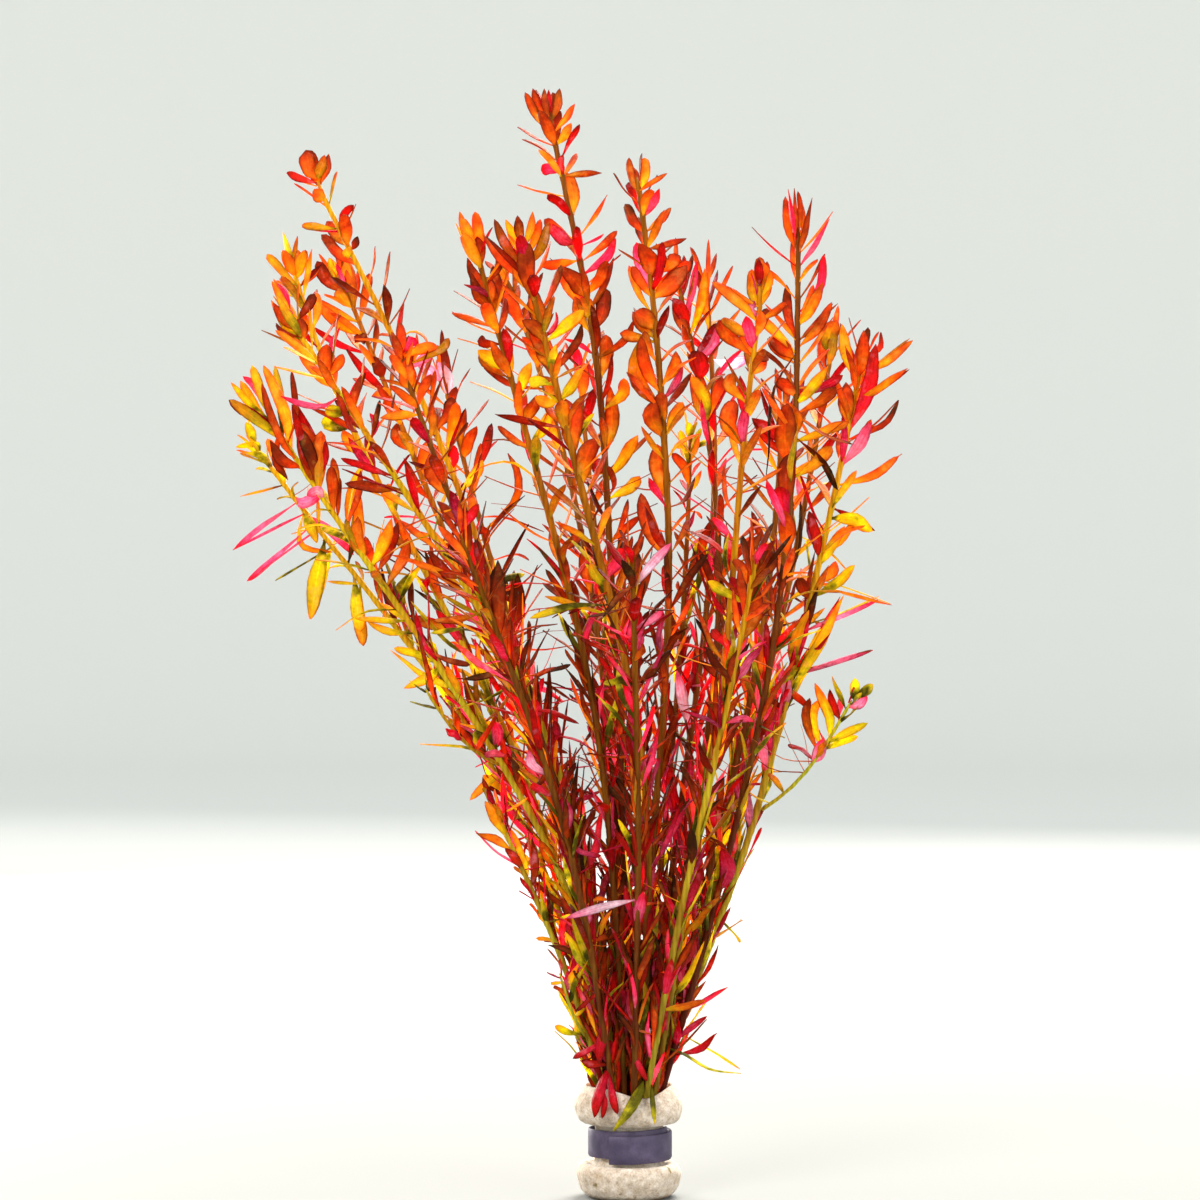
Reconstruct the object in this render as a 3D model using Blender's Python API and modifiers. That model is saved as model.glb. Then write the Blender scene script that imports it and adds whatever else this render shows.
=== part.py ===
"""A bunch of cut rotala stems, held upright in a foam sleeve by a wound lead strip."""

import math
import random

import bmesh
import bpy
import numpy as np
from mathutils import Vector, noise
from mathutils.bvhtree import BVHTree

# Every size below is in millimetres; MM turns it into metres.
MM = 0.001
GAP = 0.3

# Foam sleeve
FOAM_HEIGHT = 28.8
FOAM_FOOT_RADIUS = 9.8
FOAM_LOWER_BULGE = 13.6
FOAM_WAIST_RADIUS = 9.0
FOAM_UPPER_BULGE = 14.0
FOAM_RIM_RADIUS = 12.2
FOAM_BORE_RADIUS = 7.6
FOAM_MOUTH_RADIUS = 10.9
FOAM_BORE_TOP = 18.0
FOAM_SIDES = 20
FOAM_LUMP = 0.35
FOAM_LUMP_SIZE = 6.0
RIM_DIP = 2.4
RIM_DIP_ANGLE = math.radians(-70.0)
RIM_DIP_REACH = math.radians(32.0)
RIM_DIP_START = 20.0
WAIST_ROOM_BELOW = 1.25
WAIST_ROOM_ABOVE = 1.0

# Lead strip
STRIP_THICK = 0.8
STRIP_WIDTH = 7.2
STRIP_TURNS = 1.3
STRIP_PITCH = STRIP_THICK + GAP
STRIP_MIDDLE_HEIGHT = 14.2
STRIP_END_ANGLE = math.radians(-117.0)
STRIP_LAP_DROP = 1.6
STRIP_LAP_START = 0.42
STRIP_STEPS_PER_TURN = 20

# Stems and leaves. One stem stands on the axis, with its cut end level with the foot of the foam.
STEM_FOOT = 0.0
FAN_HEIGHT = 30.0
AXIS_STEM = "stem_09"
LEVEL_STEP = 6.0
STEM_TOP_LEVEL = 300.0
STEM_CLEARANCE = 0.55
BORE_PLAY = 0.1
GATHER_HEIGHT = 12.0
GATHER_REACH = 24.0
FOOT_SPREAD = 0.30
MOUTH_SPREAD = 0.44
MOUTH_HEIGHT = 31.0
TIP_TAPER = 0.75
TAPER_REACH = 60.0
TIP_POINT = 0.55
TURN_PER_STEM = 0.7
SHOOT_STEPS = 7
SHOOT_SAG = 0.10
FIRST_NODES = (1.2, 3.6, 6.6, 10.0, 14.0, 18.5, 23.5, 29.0, 35.0)
NODE_SPACING = 6.2
LOWEST_LEAF = 38.0
LEAF_THICK = 0.6
LEAF_CLEARANCE = 0.35
LEAF_SINK = 0.72
LEAF_FOOT_HALF_WIDTH = 0.5
LEAF_FOOT_HALF_HEIGHT = 0.7
LEAF_FOOT_FREE = 1.2
LEAF_BROADEST = 0.46
SEEN_LEAF_BOW = 0.06
SEEN_LEAF_DEPTHS = (0, -2, 2, -4, 4, -7, 7)
SEEN_LEAF_SEED = 11
PAIR_SEED = 23
PAIR_TRIES = 9
CARRIED_NODES = (0, 2, 5, 8, 12, 16, 21, 26)
MOST_NODES = 8
TWIST_PER_MM = 0.012
RING_HEIGHTS = (FOAM_BORE_TOP, MOUTH_HEIGHT)
LONGEST_RING_GAP = 31.0

# How the stems are moved apart: turns in all, turns with a strong pull back to the wanted run,
# turns with any pull, the two pulls, the straightening and the share of an overlap undone each turn
SETTLE_TURNS = 900
STRONG_PULL_TURNS = 500
PULL_TURNS = 840
STRONG_PULL = 0.02
WEAK_PULL = 0.004
STRAIGHTENING = 0.20
SHARE_UNDONE = 0.42

# Corners 0 to 3 are a leaf's foot, 4 to 7 its broadest place and 8 its tip.
LEAF_FACES = (
    (3, 2, 1, 0), (0, 1, 5, 4), (1, 2, 6, 5), (2, 3, 7, 6), (3, 0, 4, 7),
    (4, 5, 8), (5, 6, 8), (6, 7, 8), (7, 4, 8),
)

# How leaves grow along a stem: they reach full size at YOUNG_REACH below the tip, take their
# lower form by LOW_FORM_REACH, and lean out from LEAN_AT_TIP by LEAN_GAIN degrees over LEAN_REACH.
YOUNG_SHARE = 0.72
YOUNG_REACH = 30.0
LOW_FORM_REACH = 70.0
LEAN_AT_TIP = 14.0
LEAN_GAIN = 30.0
LEAN_REACH = 14.0
LOW_LEANS = (14, 18, 22, 26, 34, 48)
LOW_LEAN_HEIGHT = 130.0
LEAST_LEAN = 8.0
SMALLER_EACH_TRY = 0.05
PLAIN_TOP = 6.0
PLAIN_FOOT = 4.0
DIRECTION_SPAN = 4.0

# The bunch spreads from this point; runs and leaves are given as seen from the front
# at this distance, so a point that stands back moves along the line of sight.
SIGHT_DISTANCE = 1000.0
SIGHT_X = -7.5
SIGHT_HEIGHT = 155.0

FORMS = {
    "oval": (10.5, 3.9, 14.5, 2.9),
    "slender": (14.0, 2.9, 17.0, 2.5),
    "small": (6.5, 2.2, 8.5, 2.0),
}

# name, depth of the tip behind the middle, foot radius, leaf form, run from tip to foot (x, z)
STEMS = (
    ("stem_01", -12, 0.92, "oval", ((-81, 264), (-76, 251), (-69, 240), (-62, 228), (-55, 214),
                                    (-46, 194), (-34, 155), (-22, 127), (-13, 95))),
    ("stem_02", 8, 0.90, "oval", ((-87, 243), (-86, 224), (-82, 213), (-72, 194), (-59, 173),
                                  (-46, 150), (-28, 119), (-15, 88))),
    ("stem_03", -26, 0.95, "slender", ((-88, 229), (-84, 221), (-74, 207), (-61, 189), (-49, 169),
                                       (-41, 158), (-30, 146), (-16, 121), (-9, 95))),
    ("stem_04", 24, 0.90, "oval", ((-75, 240), (-71, 226), (-61, 210), (-58, 197), (-51, 176),
                                   (-38, 150), (-23, 119), (-12, 88))),
    ("stem_05", -4, 0.98, "slender", ((-93, 203), (-88, 192), (-83, 184), (-77, 176), (-67, 163),
                                      (-59, 152), (-50, 143), (-44, 129), (-33, 116), (-19, 98), (-12, 87),
                                      (-8, 76))),
    ("stem_06", 16, 0.90, "small", ((-98, 196), (-92, 188), (-84, 174), (-69, 160), (-60, 152),
                                    (-49, 135), (-36, 120), (-25, 101), (-14, 80))),
    ("stem_07", -36, 0.95, "oval", ((-40, 248), (-36, 230), (-33, 219), (-29, 208), (-27, 197),
                                    (-22, 182), (-14, 158), (-8, 135), (-4, 105))),
    ("stem_08", -50, 1.05, "oval", ((-28, 248), (-26, 236), (-20, 218), (-18, 208), (-15, 191),
                                    (-11, 176), (-6, 162), (-1, 146), (4, 130), (7, 114), (8, 90), (5, 53))),
    ("stem_09", 6, 1.00, "oval", ((-21, 283), (-19, 269), (-13, 251), (-8, 229), (-5, 211), (-5, 195),
                                  (-6, 182), (-4, 150), (-2, 120), (-1, 90))),
    ("stem_10", -22, 0.98, "oval", ((2, 265), (5, 249), (8, 230), (9, 216), (9, 203), (12, 176),
                                    (13, 161), (11, 144), (10, 128), (8, 111), (5, 85))),
    ("stem_11", 28, 0.92, "slender", ((12, 240), (18, 221), (22, 203), (26, 176), (27, 167), (26, 147),
                                      (23, 124), (16, 95))),
    ("stem_12", -42, 0.92, "oval", ((34, 238), (34, 228), (31, 216), (29, 204), (28, 193), (28, 155),
                                    (24, 120), (17, 92))),
    ("stem_13", -14, 0.98, "slender", ((44, 252), (44, 236), (45, 210), (44, 188), (41, 161), (40, 147),
                                       (36, 124), (29, 98))),
    ("stem_14", 6, 1.00, "slender", ((61, 219), (59, 210), (58, 198), (55, 186), (52, 176), (49, 162),
                                     (46, 147), (42, 131), (38, 114), (33, 88), (25, 73), (18, 61),
                                     (14, 43))),
    ("stem_15", 46, 0.85, "small", ((16, 200), (16, 182), (15, 150), (12, 120), (8, 85))),
    ("stem_16", -38, 0.90, "oval", ((-59, 219), (-56, 205), (-50, 188), (-42, 167), (-31, 143),
                                    (-20, 119), (-11, 90))),
    ("stem_17", 44, 0.90, "slender", ((-48, 214), (-46, 200), (-42, 186), (-38, 170), (-31, 145),
                                      (-20, 118), (-11, 88))),
    ("stem_18", 54, 0.92, "oval", ((-33, 240), (-26, 228), (-21, 214), (-15, 194), (-10, 172), (-6, 140),
                                   (-3, 100))),
    ("stem_19", 64, 0.92, "oval", ((-13, 216), (-12, 200), (-9, 175), (-5, 140), (-2, 100))),
    ("stem_20", 54, 0.92, "slender", ((20, 238), (22, 222), (24, 200), (24, 172), (20, 140), (12, 98))),
    ("stem_21", 34, 0.92, "slender", ((53, 222), (51, 208), (48, 190), (44, 166), (38, 136), (26, 100))),
    ("stem_22", 18, 0.95, "slender", ((40, 206), (40, 190), (39, 170), (37, 145), (30, 114), (20, 86))),
    ("stem_23", -56, 0.92, "oval", ((1, 168), (1, 150), (2, 128), (3, 105), (3, 80))),
    ("stem_24", -52, 0.92, "oval", ((33, 168), (31, 150), (27, 130), (20, 102), (13, 78))),
    ("stem_25", -52, 0.92, "slender", ((-44, 172), (-38, 156), (-30, 138), (-20, 114), (-11, 84))),
    ("stem_26", -12, 0.88, "small", ((-36, 103), (-31, 92), (-27, 84), (-20, 74), (-14.5, 65), (-12, 55),
                                     (-10, 46))),
)

# name, stem that it forks from, height of the fork, depth and position of the tip, radius
SHOOTS = (
    ("side_shoot_01", "stem_14", 100.0, -16, (58, 129), 0.62),
    ("side_shoot_02", "stem_05", 112.0, -22, (-53, 132), 0.60),
    ("side_shoot_03", "stem_26", 42.0, -16, (-18, 58), 0.55),
)

# Leaves that stand out from the bunch: stem, foot (x, z), tip (x, z), width
LEAVES = (
    ("stem_09", (-21, 276), (-27, 287), 2.6), ("stem_09", (-21, 279), (-25, 288), 2.8),
    ("stem_09", (-20, 279), (-18, 288), 2.6), ("stem_09", (-20, 280), (-22, 288), 2.2),
    ("stem_09", (-20, 272), (-29, 278), 2.0), ("stem_09", (-20, 278), (-14, 284), 2.2),
    ("stem_09", (-19, 272), (-15, 279), 2.8), ("stem_09", (-14, 255), (-16, 266), 4.2),
    ("stem_09", (-17, 260), (-29, 263), 1.4), ("stem_09", (-15, 263), (-7, 266), 2.2),
    ("stem_09", (-13, 247), (-22, 254), 3.4), ("stem_09", (-10, 234), (-18, 242), 3.6),
    ("stem_09", (-9, 234), (-4, 244), 2.2), ("stem_09", (-7, 242), (-3, 251), 2.4),
    ("stem_09", (-6, 227), (-6, 236), 5.0), ("stem_09", (-8, 227), (-14, 234), 3.4),
    ("stem_09", (-6, 212), (-6, 224), 4.4), ("stem_09", (-5, 197), (-5, 211), 4.6),
    ("stem_10", (3, 261), (0, 270), 2.4), ("stem_10", (3, 262), (4, 270), 3.2),
    ("stem_10", (3, 259), (-4, 266), 1.8), ("stem_10", (5, 260), (10, 266), 1.8),
    ("stem_10", (4, 255), (8, 262), 2.6), ("stem_10", (4, 249), (-1, 258), 3.4),
    ("stem_10", (6, 250), (11, 257), 2.2), ("stem_10", (7, 245), (15, 249), 2.2),
    ("stem_10", (6, 238), (2, 248), 4.2), ("stem_10", (7, 232), (0, 242), 2.4),
    ("stem_10", (10, 233), (16, 243), 4.4), ("stem_10", (8, 226), (1, 230), 3.6),
    ("stem_10", (9, 214), (4, 225), 2.6), ("stem_10", (7, 197), (7, 208), 4.4),
    ("stem_01", (-81, 264), (-84, 272), 4.8), ("stem_01", (-81, 262), (-89, 266), 1.8),
    ("stem_01", (-80, 264), (-78, 271), 2.4), ("stem_01", (-76, 252), (-71, 258), 1.6),
    ("stem_01", (-76, 251), (-85, 252), 1.6), ("stem_01", (-74, 244), (-80, 250), 3.6),
    ("stem_01", (-70, 239), (-66, 247), 1.8), ("stem_01", (-63, 229), (-57, 236), 2.0),
    ("stem_01", (-56, 218), (-49, 221), 2.8),
    ("stem_02", (-87, 238), (-90, 246), 2.2), ("stem_02", (-87, 238), (-86, 246), 2.4),
    ("stem_02", (-87, 239), (-84, 246), 2.2), ("stem_02", (-87, 232), (-92, 238), 2.4),
    ("stem_02", (-86, 236), (-80, 242), 2.2), ("stem_02", (-86, 227), (-81, 235), 3.0),
    ("stem_03", (-86, 222), (-93, 233), 3.0), ("stem_03", (-84, 222), (-85, 230), 3.6),
    ("stem_04", (-76, 234), (-81, 243), 3.4), ("stem_04", (-73, 231), (-74, 244), 3.6),
    ("stem_04", (-71, 226), (-82, 233), 3.2), ("stem_04", (-62, 209), (-74, 221), 2.6),
    ("stem_05", (-88, 193), (-95, 216), 3.6), ("stem_05", (-89, 197), (-101, 212), 3.4),
    ("stem_05", (-93, 199), (-104, 207), 3.4), ("stem_05", (-90, 197), (-92, 216), 2.6),
    ("stem_05", (-91, 202), (-98, 216), 3.0), ("stem_05", (-82, 185), (-87, 207), 3.0),
    ("stem_05", (-82, 184), (-80, 199), 4.4), ("stem_05", (-78, 180), (-77, 192), 2.6),
    ("stem_05", (-52, 132), (-62, 142), 2.2), ("stem_05", (-33, 122), (-48, 125), 1.6),
    ("stem_06", (-95, 195), (-99, 202), 2.0), ("stem_06", (-95, 193), (-102, 194), 1.8),
    ("stem_06", (-89, 187), (-94, 197), 3.2), ("stem_06", (-89, 186), (-101, 182), 1.6),
    ("stem_06", (-88, 178), (-103, 168), 2.0), ("stem_06", (-85, 172), (-99, 160), 2.0),
    ("stem_06", (-81, 170), (-83, 150), 4.0), ("stem_06", (-71, 161), (-69, 143), 3.8),
    ("stem_06", (-82, 168), (-92, 160), 2.0), ("stem_06", (-69, 166), (-70, 182), 3.2),
    ("stem_07", (-39, 246), (-44, 256), 2.6), ("stem_07", (-38, 244), (-40, 256), 3.2),
    ("stem_07", (-38, 245), (-45, 253), 2.0), ("stem_07", (-37, 232), (-42, 244), 2.8),
    ("stem_07", (-36, 231), (-37, 239), 4.0), ("stem_07", (-35, 225), (-46, 230), 1.4),
    ("stem_07", (-32, 213), (-39, 219), 3.2), ("stem_07", (-30, 213), (-32, 226), 2.6),
    ("stem_08", (-29, 242), (-35, 254), 2.8), ("stem_08", (-28, 245), (-32, 254), 2.8),
    ("stem_08", (-28, 246), (-29, 255), 2.6), ("stem_08", (-27, 246), (-25, 256), 2.4),
    ("stem_08", (-27, 243), (-23, 254), 2.4), ("stem_08", (-25, 241), (-20, 253), 1.8),
    ("stem_08", (-26, 234), (-28, 250), 3.4), ("stem_08", (-28, 238), (-38, 250), 2.4),
    ("stem_08", (-24, 226), (-25, 236), 4.0), ("stem_08", (-19, 222), (-13, 229), 2.0),
    ("stem_08", (-19, 212), (-12, 216), 2.0), ("stem_08", (-19, 212), (-26, 212), 2.6),
    ("stem_11", (13, 236), (12, 245), 3.0), ("stem_11", (16, 224), (12, 233), 3.6),
    ("stem_11", (16, 230), (18, 243), 1.8), ("stem_11", (19, 218), (23, 227), 3.4),
    ("stem_11", (19, 211), (17, 220), 3.4), ("stem_11", (22, 202), (16, 213), 3.0),
    ("stem_20", (21, 225), (20, 241), 2.4),
    ("stem_12", (33, 232), (32, 241), 3.4), ("stem_12", (34, 233), (36, 243), 2.8),
    ("stem_12", (33, 230), (22, 238), 2.0), ("stem_12", (34, 228), (41, 232), 1.6),
    ("stem_12", (32, 218), (30, 225), 3.6), ("stem_12", (30, 218), (24, 228), 3.4),
    ("stem_12", (30, 216), (36, 218), 2.6),
    ("stem_13", (44, 237), (44, 252), 3.2), ("stem_13", (43, 247), (44, 257), 2.4),
    ("stem_13", (44, 249), (45, 259), 2.0), ("stem_13", (43, 243), (32, 252), 1.2),
    ("stem_13", (45, 244), (53, 256), 1.4), ("stem_13", (43, 225), (41, 237), 3.0),
    ("stem_13", (46, 232), (51, 245), 1.6), ("stem_13", (45, 226), (48, 237), 2.2),
    ("stem_13", (46, 220), (53, 232), 2.4), ("stem_13", (43, 216), (36, 223), 3.0),
    ("stem_13", (45, 208), (54, 210), 2.6), ("stem_13", (44, 192), (32, 202), 2.4),
    ("stem_21", (52, 215), (54, 227), 3.0), ("stem_21", (51, 213), (51, 226), 3.2),
    ("stem_14", (60, 211), (61, 225), 3.0), ("stem_14", (59, 205), (64, 221), 3.0),
    ("stem_14", (59, 215), (55, 227), 2.2), ("stem_14", (60, 211), (73, 223), 1.6),
    ("stem_14", (60, 204), (73, 215), 1.6), ("stem_14", (59, 196), (70, 207), 1.8),
    ("stem_14", (56, 188), (63, 202), 2.4), ("stem_14", (56, 184), (71, 193), 1.8),
    ("stem_14", (53, 176), (64, 173), 2.4), ("stem_14", (50, 166), (47, 178), 2.6),
    ("stem_14", (51, 166), (59, 176), 2.4), ("stem_14", (49, 158), (68, 154), 1.2),
    ("stem_14", (46, 147), (65, 156), 1.6), ("stem_14", (45, 136), (63, 142), 1.6),
    ("stem_14", (43, 136), (55, 156), 2.6), ("stem_14", (41, 136), (46, 152), 3.0),
    ("stem_26", (-30, 93), (-38, 109), 1.8), ("stem_26", (-28, 88), (-40, 95), 1.8),
    ("stem_14", (24, 71), (29, 66), 1.8), ("stem_14", (13, 40), (29, 33), 1.4),
)

FOAM_COLOUR = (0.74, 0.70, 0.60)
STRIP_COLOUR = (0.13, 0.11, 0.17)
STEM_COLOURS = {
    "gold": (0.62, 0.28, 0.02),
    "orange": (0.60, 0.12, 0.01),
    "red": (0.42, 0.03, 0.01),
    "crimson": (0.40, 0.01, 0.05),
    "green": (0.42, 0.40, 0.04),
}
TONES = {
    "stem_03": "gold", "stem_05": "gold", "stem_06": "gold", "stem_07": "gold", "stem_12": "gold",
    "stem_11": "crimson", "stem_17": "crimson", "stem_22": "red", "stem_16": "red", "stem_24": "crimson",
    "stem_13": "red", "stem_18": "red", "stem_23": "red", "stem_25": "red", "stem_15": "green",
    "stem_26": "gold", "side_shoot_01": "green", "side_shoot_02": "gold", "side_shoot_03": "green",
}


def clear_scene():
    for obj in list(bpy.data.objects):
        bpy.data.objects.remove(obj, do_unlink=True)


def material(name, colour, roughness, metallic=0.0):
    made = bpy.data.materials.new(name)
    made.use_nodes = True
    shader = made.node_tree.nodes["Principled BSDF"]
    shader.inputs["Base Color"].default_value = (*colour, 1.0)
    shader.inputs["Roughness"].default_value = roughness
    shader.inputs["Metallic"].default_value = metallic
    made.diffuse_color = (*colour, 1.0)
    return made


def add_object(name, mesh, look, collection):
    obj = bpy.data.objects.new(name, mesh)
    mesh.materials.append(look)
    collection.objects.link(obj)
    return obj


def seen(x, z, depth):
    """The point at this depth that lines up, from the front, with (x, z) on the middle plane."""
    scale = 1 + depth / SIGHT_DISTANCE
    return Vector((SIGHT_X + (x - SIGHT_X) * scale, depth, SIGHT_HEIGHT + (z - SIGHT_HEIGHT) * scale))


def bore_radius(z):
    """Radius that the stems keep within at height z: in the foam, in its mouth and free above."""
    heights = (0, FOAM_BORE_TOP, FAN_HEIGHT, 2 * FAN_HEIGHT)
    free = 100.0
    return float(np.interp(z, heights, (FOAM_BORE_RADIUS, FOAM_BORE_RADIUS, FOAM_MOUTH_RADIUS, free)))


def share_of_depth(z, run):
    """How much of the tip's depth a stem has reached at height z."""
    return max(z - GATHER_HEIGHT, 0) / (run[0][1] - GATHER_HEIGHT)


def first_runs():
    """Where every stem would pass each level if none were in its way."""
    levels = np.arange(STEM_FOOT, STEM_TOP_LEVEL, LEVEL_STEP)
    runs = np.full((len(STEMS), len(levels), 2), np.nan)
    tips = []
    for i, (_, depth, _, _, run) in enumerate(STEMS):
        tip = seen(*run[0], depth)
        tips.append(tip)
        heights = []
        places = []
        low = run[-1]
        for x, z in reversed(run):
            point = seen(x, z, depth * share_of_depth(z, run))
            heights.append(point.z)
            places.append((point.x, point.y))
        spread = Vector((low[0], depth * share_of_depth(low[1], run)))
        reach = min(1.0, GATHER_REACH / max(spread.length, 1e-6))
        foot = spread * reach * FOOT_SPREAD
        mouth = spread * reach * MOUTH_SPREAD
        heights = [0, FOAM_BORE_TOP, MOUTH_HEIGHT] + heights
        places = [tuple(foot), tuple(foot), tuple(mouth)] + places
        for axis in (0, 1):
            column = np.interp(levels, heights, [p[axis] for p in places])
            runs[i, :, axis] = np.where(levels < tip.z - 1.5, column, np.nan)
    return levels, runs, tips


def settle(levels, runs, radii):
    """Moves the stems apart at every level until each has room, keeping their runs smooth."""
    wanted = runs.copy()
    count = len(runs)
    bore = np.array([bore_radius(z) for z in levels])
    lone = np.eye(count, dtype=bool)[:, :, None]
    axis_stem = [stem[0] for stem in STEMS].index(AXIS_STEM)
    for turn in range(SETTLE_TURNS):
        slope = np.zeros(runs.shape[:2])
        slope[:, 1:] = np.linalg.norm(np.diff(runs, axis=1), axis=2) / LEVEL_STEP
        stretch = np.sqrt(1 + np.nan_to_num(slope) ** 2)
        own = radii * stretch
        apart = runs[:, None] - runs[None]
        distance = np.linalg.norm(apart, axis=3) + 1e-9
        short = np.maximum(own[:, None] + own[None] + STEM_CLEARANCE - distance, 0)
        short = np.where(lone | np.isnan(distance), 0, short)
        push = np.nansum(np.nan_to_num(apart) / np.nan_to_num(distance, nan=1)[..., None] * short[..., None],
                         axis=1) * SHARE_UNDONE
        runs = runs + push
        if turn < PULL_TURNS:
            pull = STRONG_PULL if turn < STRONG_PULL_TURNS else WEAK_PULL
            runs = runs + pull * (wanted - runs)
            middle = 0.5 * (runs[:, 2:] + runs[:, :-2])
            bend = STRAIGHTENING * (middle - runs[:, 1:-1])
            runs[:, 1:-1] += np.nan_to_num(bend)
        away = np.linalg.norm(runs, axis=2)
        most = bore[None, :] - own - GAP - BORE_PLAY
        runs = runs * np.where(away > most, most / np.maximum(away, 1e-9), 1.0)[..., None]
        runs[axis_stem, levels <= FOAM_BORE_TOP] = 0
    return runs


def radius_at(run, s):
    """Radius of the stem at distance s below its tip."""
    return run["radius"] * (TIP_TAPER + (1 - TIP_TAPER) * min(1.0, s / TAPER_REACH))


def run_of(points, radius, form, name):
    """A stem's centre line from the tip down, with the distance along it at each point."""
    points = np.array(points)[::-1]
    along = np.concatenate([[0], np.cumsum(np.linalg.norm(np.diff(points, axis=0), axis=1))])
    return {"name": name, "points": points, "along": along, "radius": radius, "form": form,
            "length": along[-1], "start": 0.0}


def point_at(run, s):
    return Vector([float(np.interp(s, run["along"], run["points"][:, k])) for k in range(3)])


def frame_at(run, s):
    """Centre, upward direction and two side directions of the stem at distance s below its tip."""
    above = point_at(run, max(s - DIRECTION_SPAN, 0))
    below = point_at(run, min(s + DIRECTION_SPAN, run["length"]))
    up = (above - below).normalized()
    side = Vector((1, 0, 0)) - up * up.x
    side.normalize()
    other = up.cross(side)
    turn = run["start"] + TWIST_PER_MM * s
    first = side * math.cos(turn) + other * math.sin(turn)
    return point_at(run, s), up, first, up.cross(first)


def face_direction(run, s, face):
    _, _, first, second = frame_at(run, s)
    angle = math.radians(90 * face)
    return first * math.cos(angle) + second * math.sin(angle)


def all_runs():
    levels, runs, tips = first_runs()
    radii = np.array([stem[2] for stem in STEMS])[:, None] * np.ones(len(levels))[None]
    runs = settle(levels, runs, radii)
    made = {}
    for i, (name, _, radius, form, _) in enumerate(STEMS):
        points = [(x, y, z) for (x, y), z in zip(runs[i], levels) if not np.isnan(x)]
        points.append(tuple(tips[i]))
        made[name] = run_of(points, radius, form, name)
    for name, parent, height, depth, tip, radius in SHOOTS:
        stem = made[parent]
        s = float(np.interp(-height, -stem["points"][:, 2], stem["along"]))
        end = seen(*tip, depth)
        root = point_at(stem, s)
        toward = Vector((end.x - root.x, end.y - root.y, 0)).normalized()
        start = root + toward * (stem["radius"] + radius + GAP) + Vector((0, 0, 0.5))
        span = end - start
        points = []
        for t in np.linspace(0, 1, SHOOT_STEPS):
            sag = Vector((0, 0, -SHOOT_SAG * span.length * math.sin(math.pi * t)))
            points.append(tuple(start + span * float(t) + sag))
        made[name] = run_of(points, radius, "small", name)
    for k, run in enumerate(made.values()):
        run["start"] = TURN_PER_STEM * k
    return made


def node_distances(run):
    """Distances below the tip where leaves grow."""
    found = [s for s in FIRST_NODES if s < run["length"] - PLAIN_TOP]
    s = FIRST_NODES[-1] + NODE_SPACING
    while s < run["length"] - PLAIN_FOOT and point_at(run, s).z > LOWEST_LEAF:
        found.append(s)
        s += NODE_SPACING
    return found


def leaf_corners(run, s, face, middle, tip, width, grow=0.0):
    """The foot, middle and tip of a leaf that grows from one side of the stem."""
    centre, up, _, _ = frame_at(run, s)
    out = face_direction(run, s, face)
    across = up.cross(out)
    radius = radius_at(run, s)
    foot = centre + out * (radius * LEAF_SINK)
    along = (tip - foot).normalized()
    blade = across - along * across.dot(along)
    blade.normalize()
    flat = along.cross(blade)
    half_foot = radius * LEAF_FOOT_HALF_WIDTH + grow
    half_tall = LEAF_FOOT_HALF_HEIGHT
    half_wide = width / 2 + grow
    half_thick = LEAF_THICK / 2 + grow
    start = foot + along * (LEAF_FOOT_FREE if grow else 0.0)
    signs = ((-1, -1), (1, -1), (1, 1), (-1, 1))
    base = [start + across * a * half_foot + up * b * half_tall for a, b in signs]
    mid = [middle + blade * a * half_wide + flat * b * half_thick for a, b in signs]
    return base + mid + [tip + along * grow]


def leaf_tree(corners):
    return BVHTree.FromPolygons([tuple(c) for c in corners], LEAF_FACES)


def ring_points(run, s, radius):
    """The four corners of the stem's section at distance s below the tip."""
    centre, _, first, second = frame_at(run, s)
    corners = []
    for quarter in range(4):
        angle = math.radians(45 + 90 * quarter)
        corners.append(centre + (first * math.cos(angle) + second * math.sin(angle)) * radius)
    return corners


def stem_tree(run, grow):
    """The stem with a margin round it, to test leaves against."""
    steps = max(3, int(run["length"] / 6))
    points = []
    faces = []
    for k in range(steps + 1):
        s = run["length"] * (1 - k / steps)
        points += [tuple(p) for p in ring_points(run, s, radius_at(run, s) + grow)]
        if k:
            low = 4 * (k - 1)
            faces += [(low + q, low + (q + 1) % 4, low + 4 + (q + 1) % 4, low + 4 + q) for q in range(4)]
    return BVHTree.FromPolygons(points, faces)


class Room:
    """What is already placed, so that a new leaf can be tested against it."""

    def __init__(self, runs):
        self.stems = {name: stem_tree(run, LEAF_CLEARANCE) for name, run in runs.items()}
        self.trees = []
        self.lows = []
        self.highs = []

    def free(self, name, corners):
        tree = leaf_tree(corners)
        if any(tree.overlap(other) for stem, other in self.stems.items() if stem != name):
            return False
        low = np.min(corners, axis=0)
        high = np.max(corners, axis=0)
        if self.trees:
            near = (np.array(self.lows) < high).all(axis=1) & (np.array(self.highs) > low).all(axis=1)
            if any(tree.overlap(self.trees[k]) for k in np.nonzero(near)[0]):
                return False
        return True

    def add(self, corners):
        self.trees.append(leaf_tree(corners))
        self.lows.append(np.min(corners, axis=0))
        self.highs.append(np.max(corners, axis=0))


def clear_of_foam(corners):
    return all(c.z > FAN_HEIGHT + 1.5 or math.hypot(c.x, c.y) > FOAM_UPPER_BULGE + 2 for c in corners)


def try_leaf(room, run, s, face, middle, tip, width):
    """Adds the leaf if nothing is in its way."""
    corners = leaf_corners(run, s, face, middle, tip, width, LEAF_CLEARANCE / 2)
    if not clear_of_foam(corners) or not room.free(run["name"], corners):
        return None
    room.add(corners)
    return {"s": s, "face": face, "middle": middle, "tip": tip, "width": width}


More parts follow.
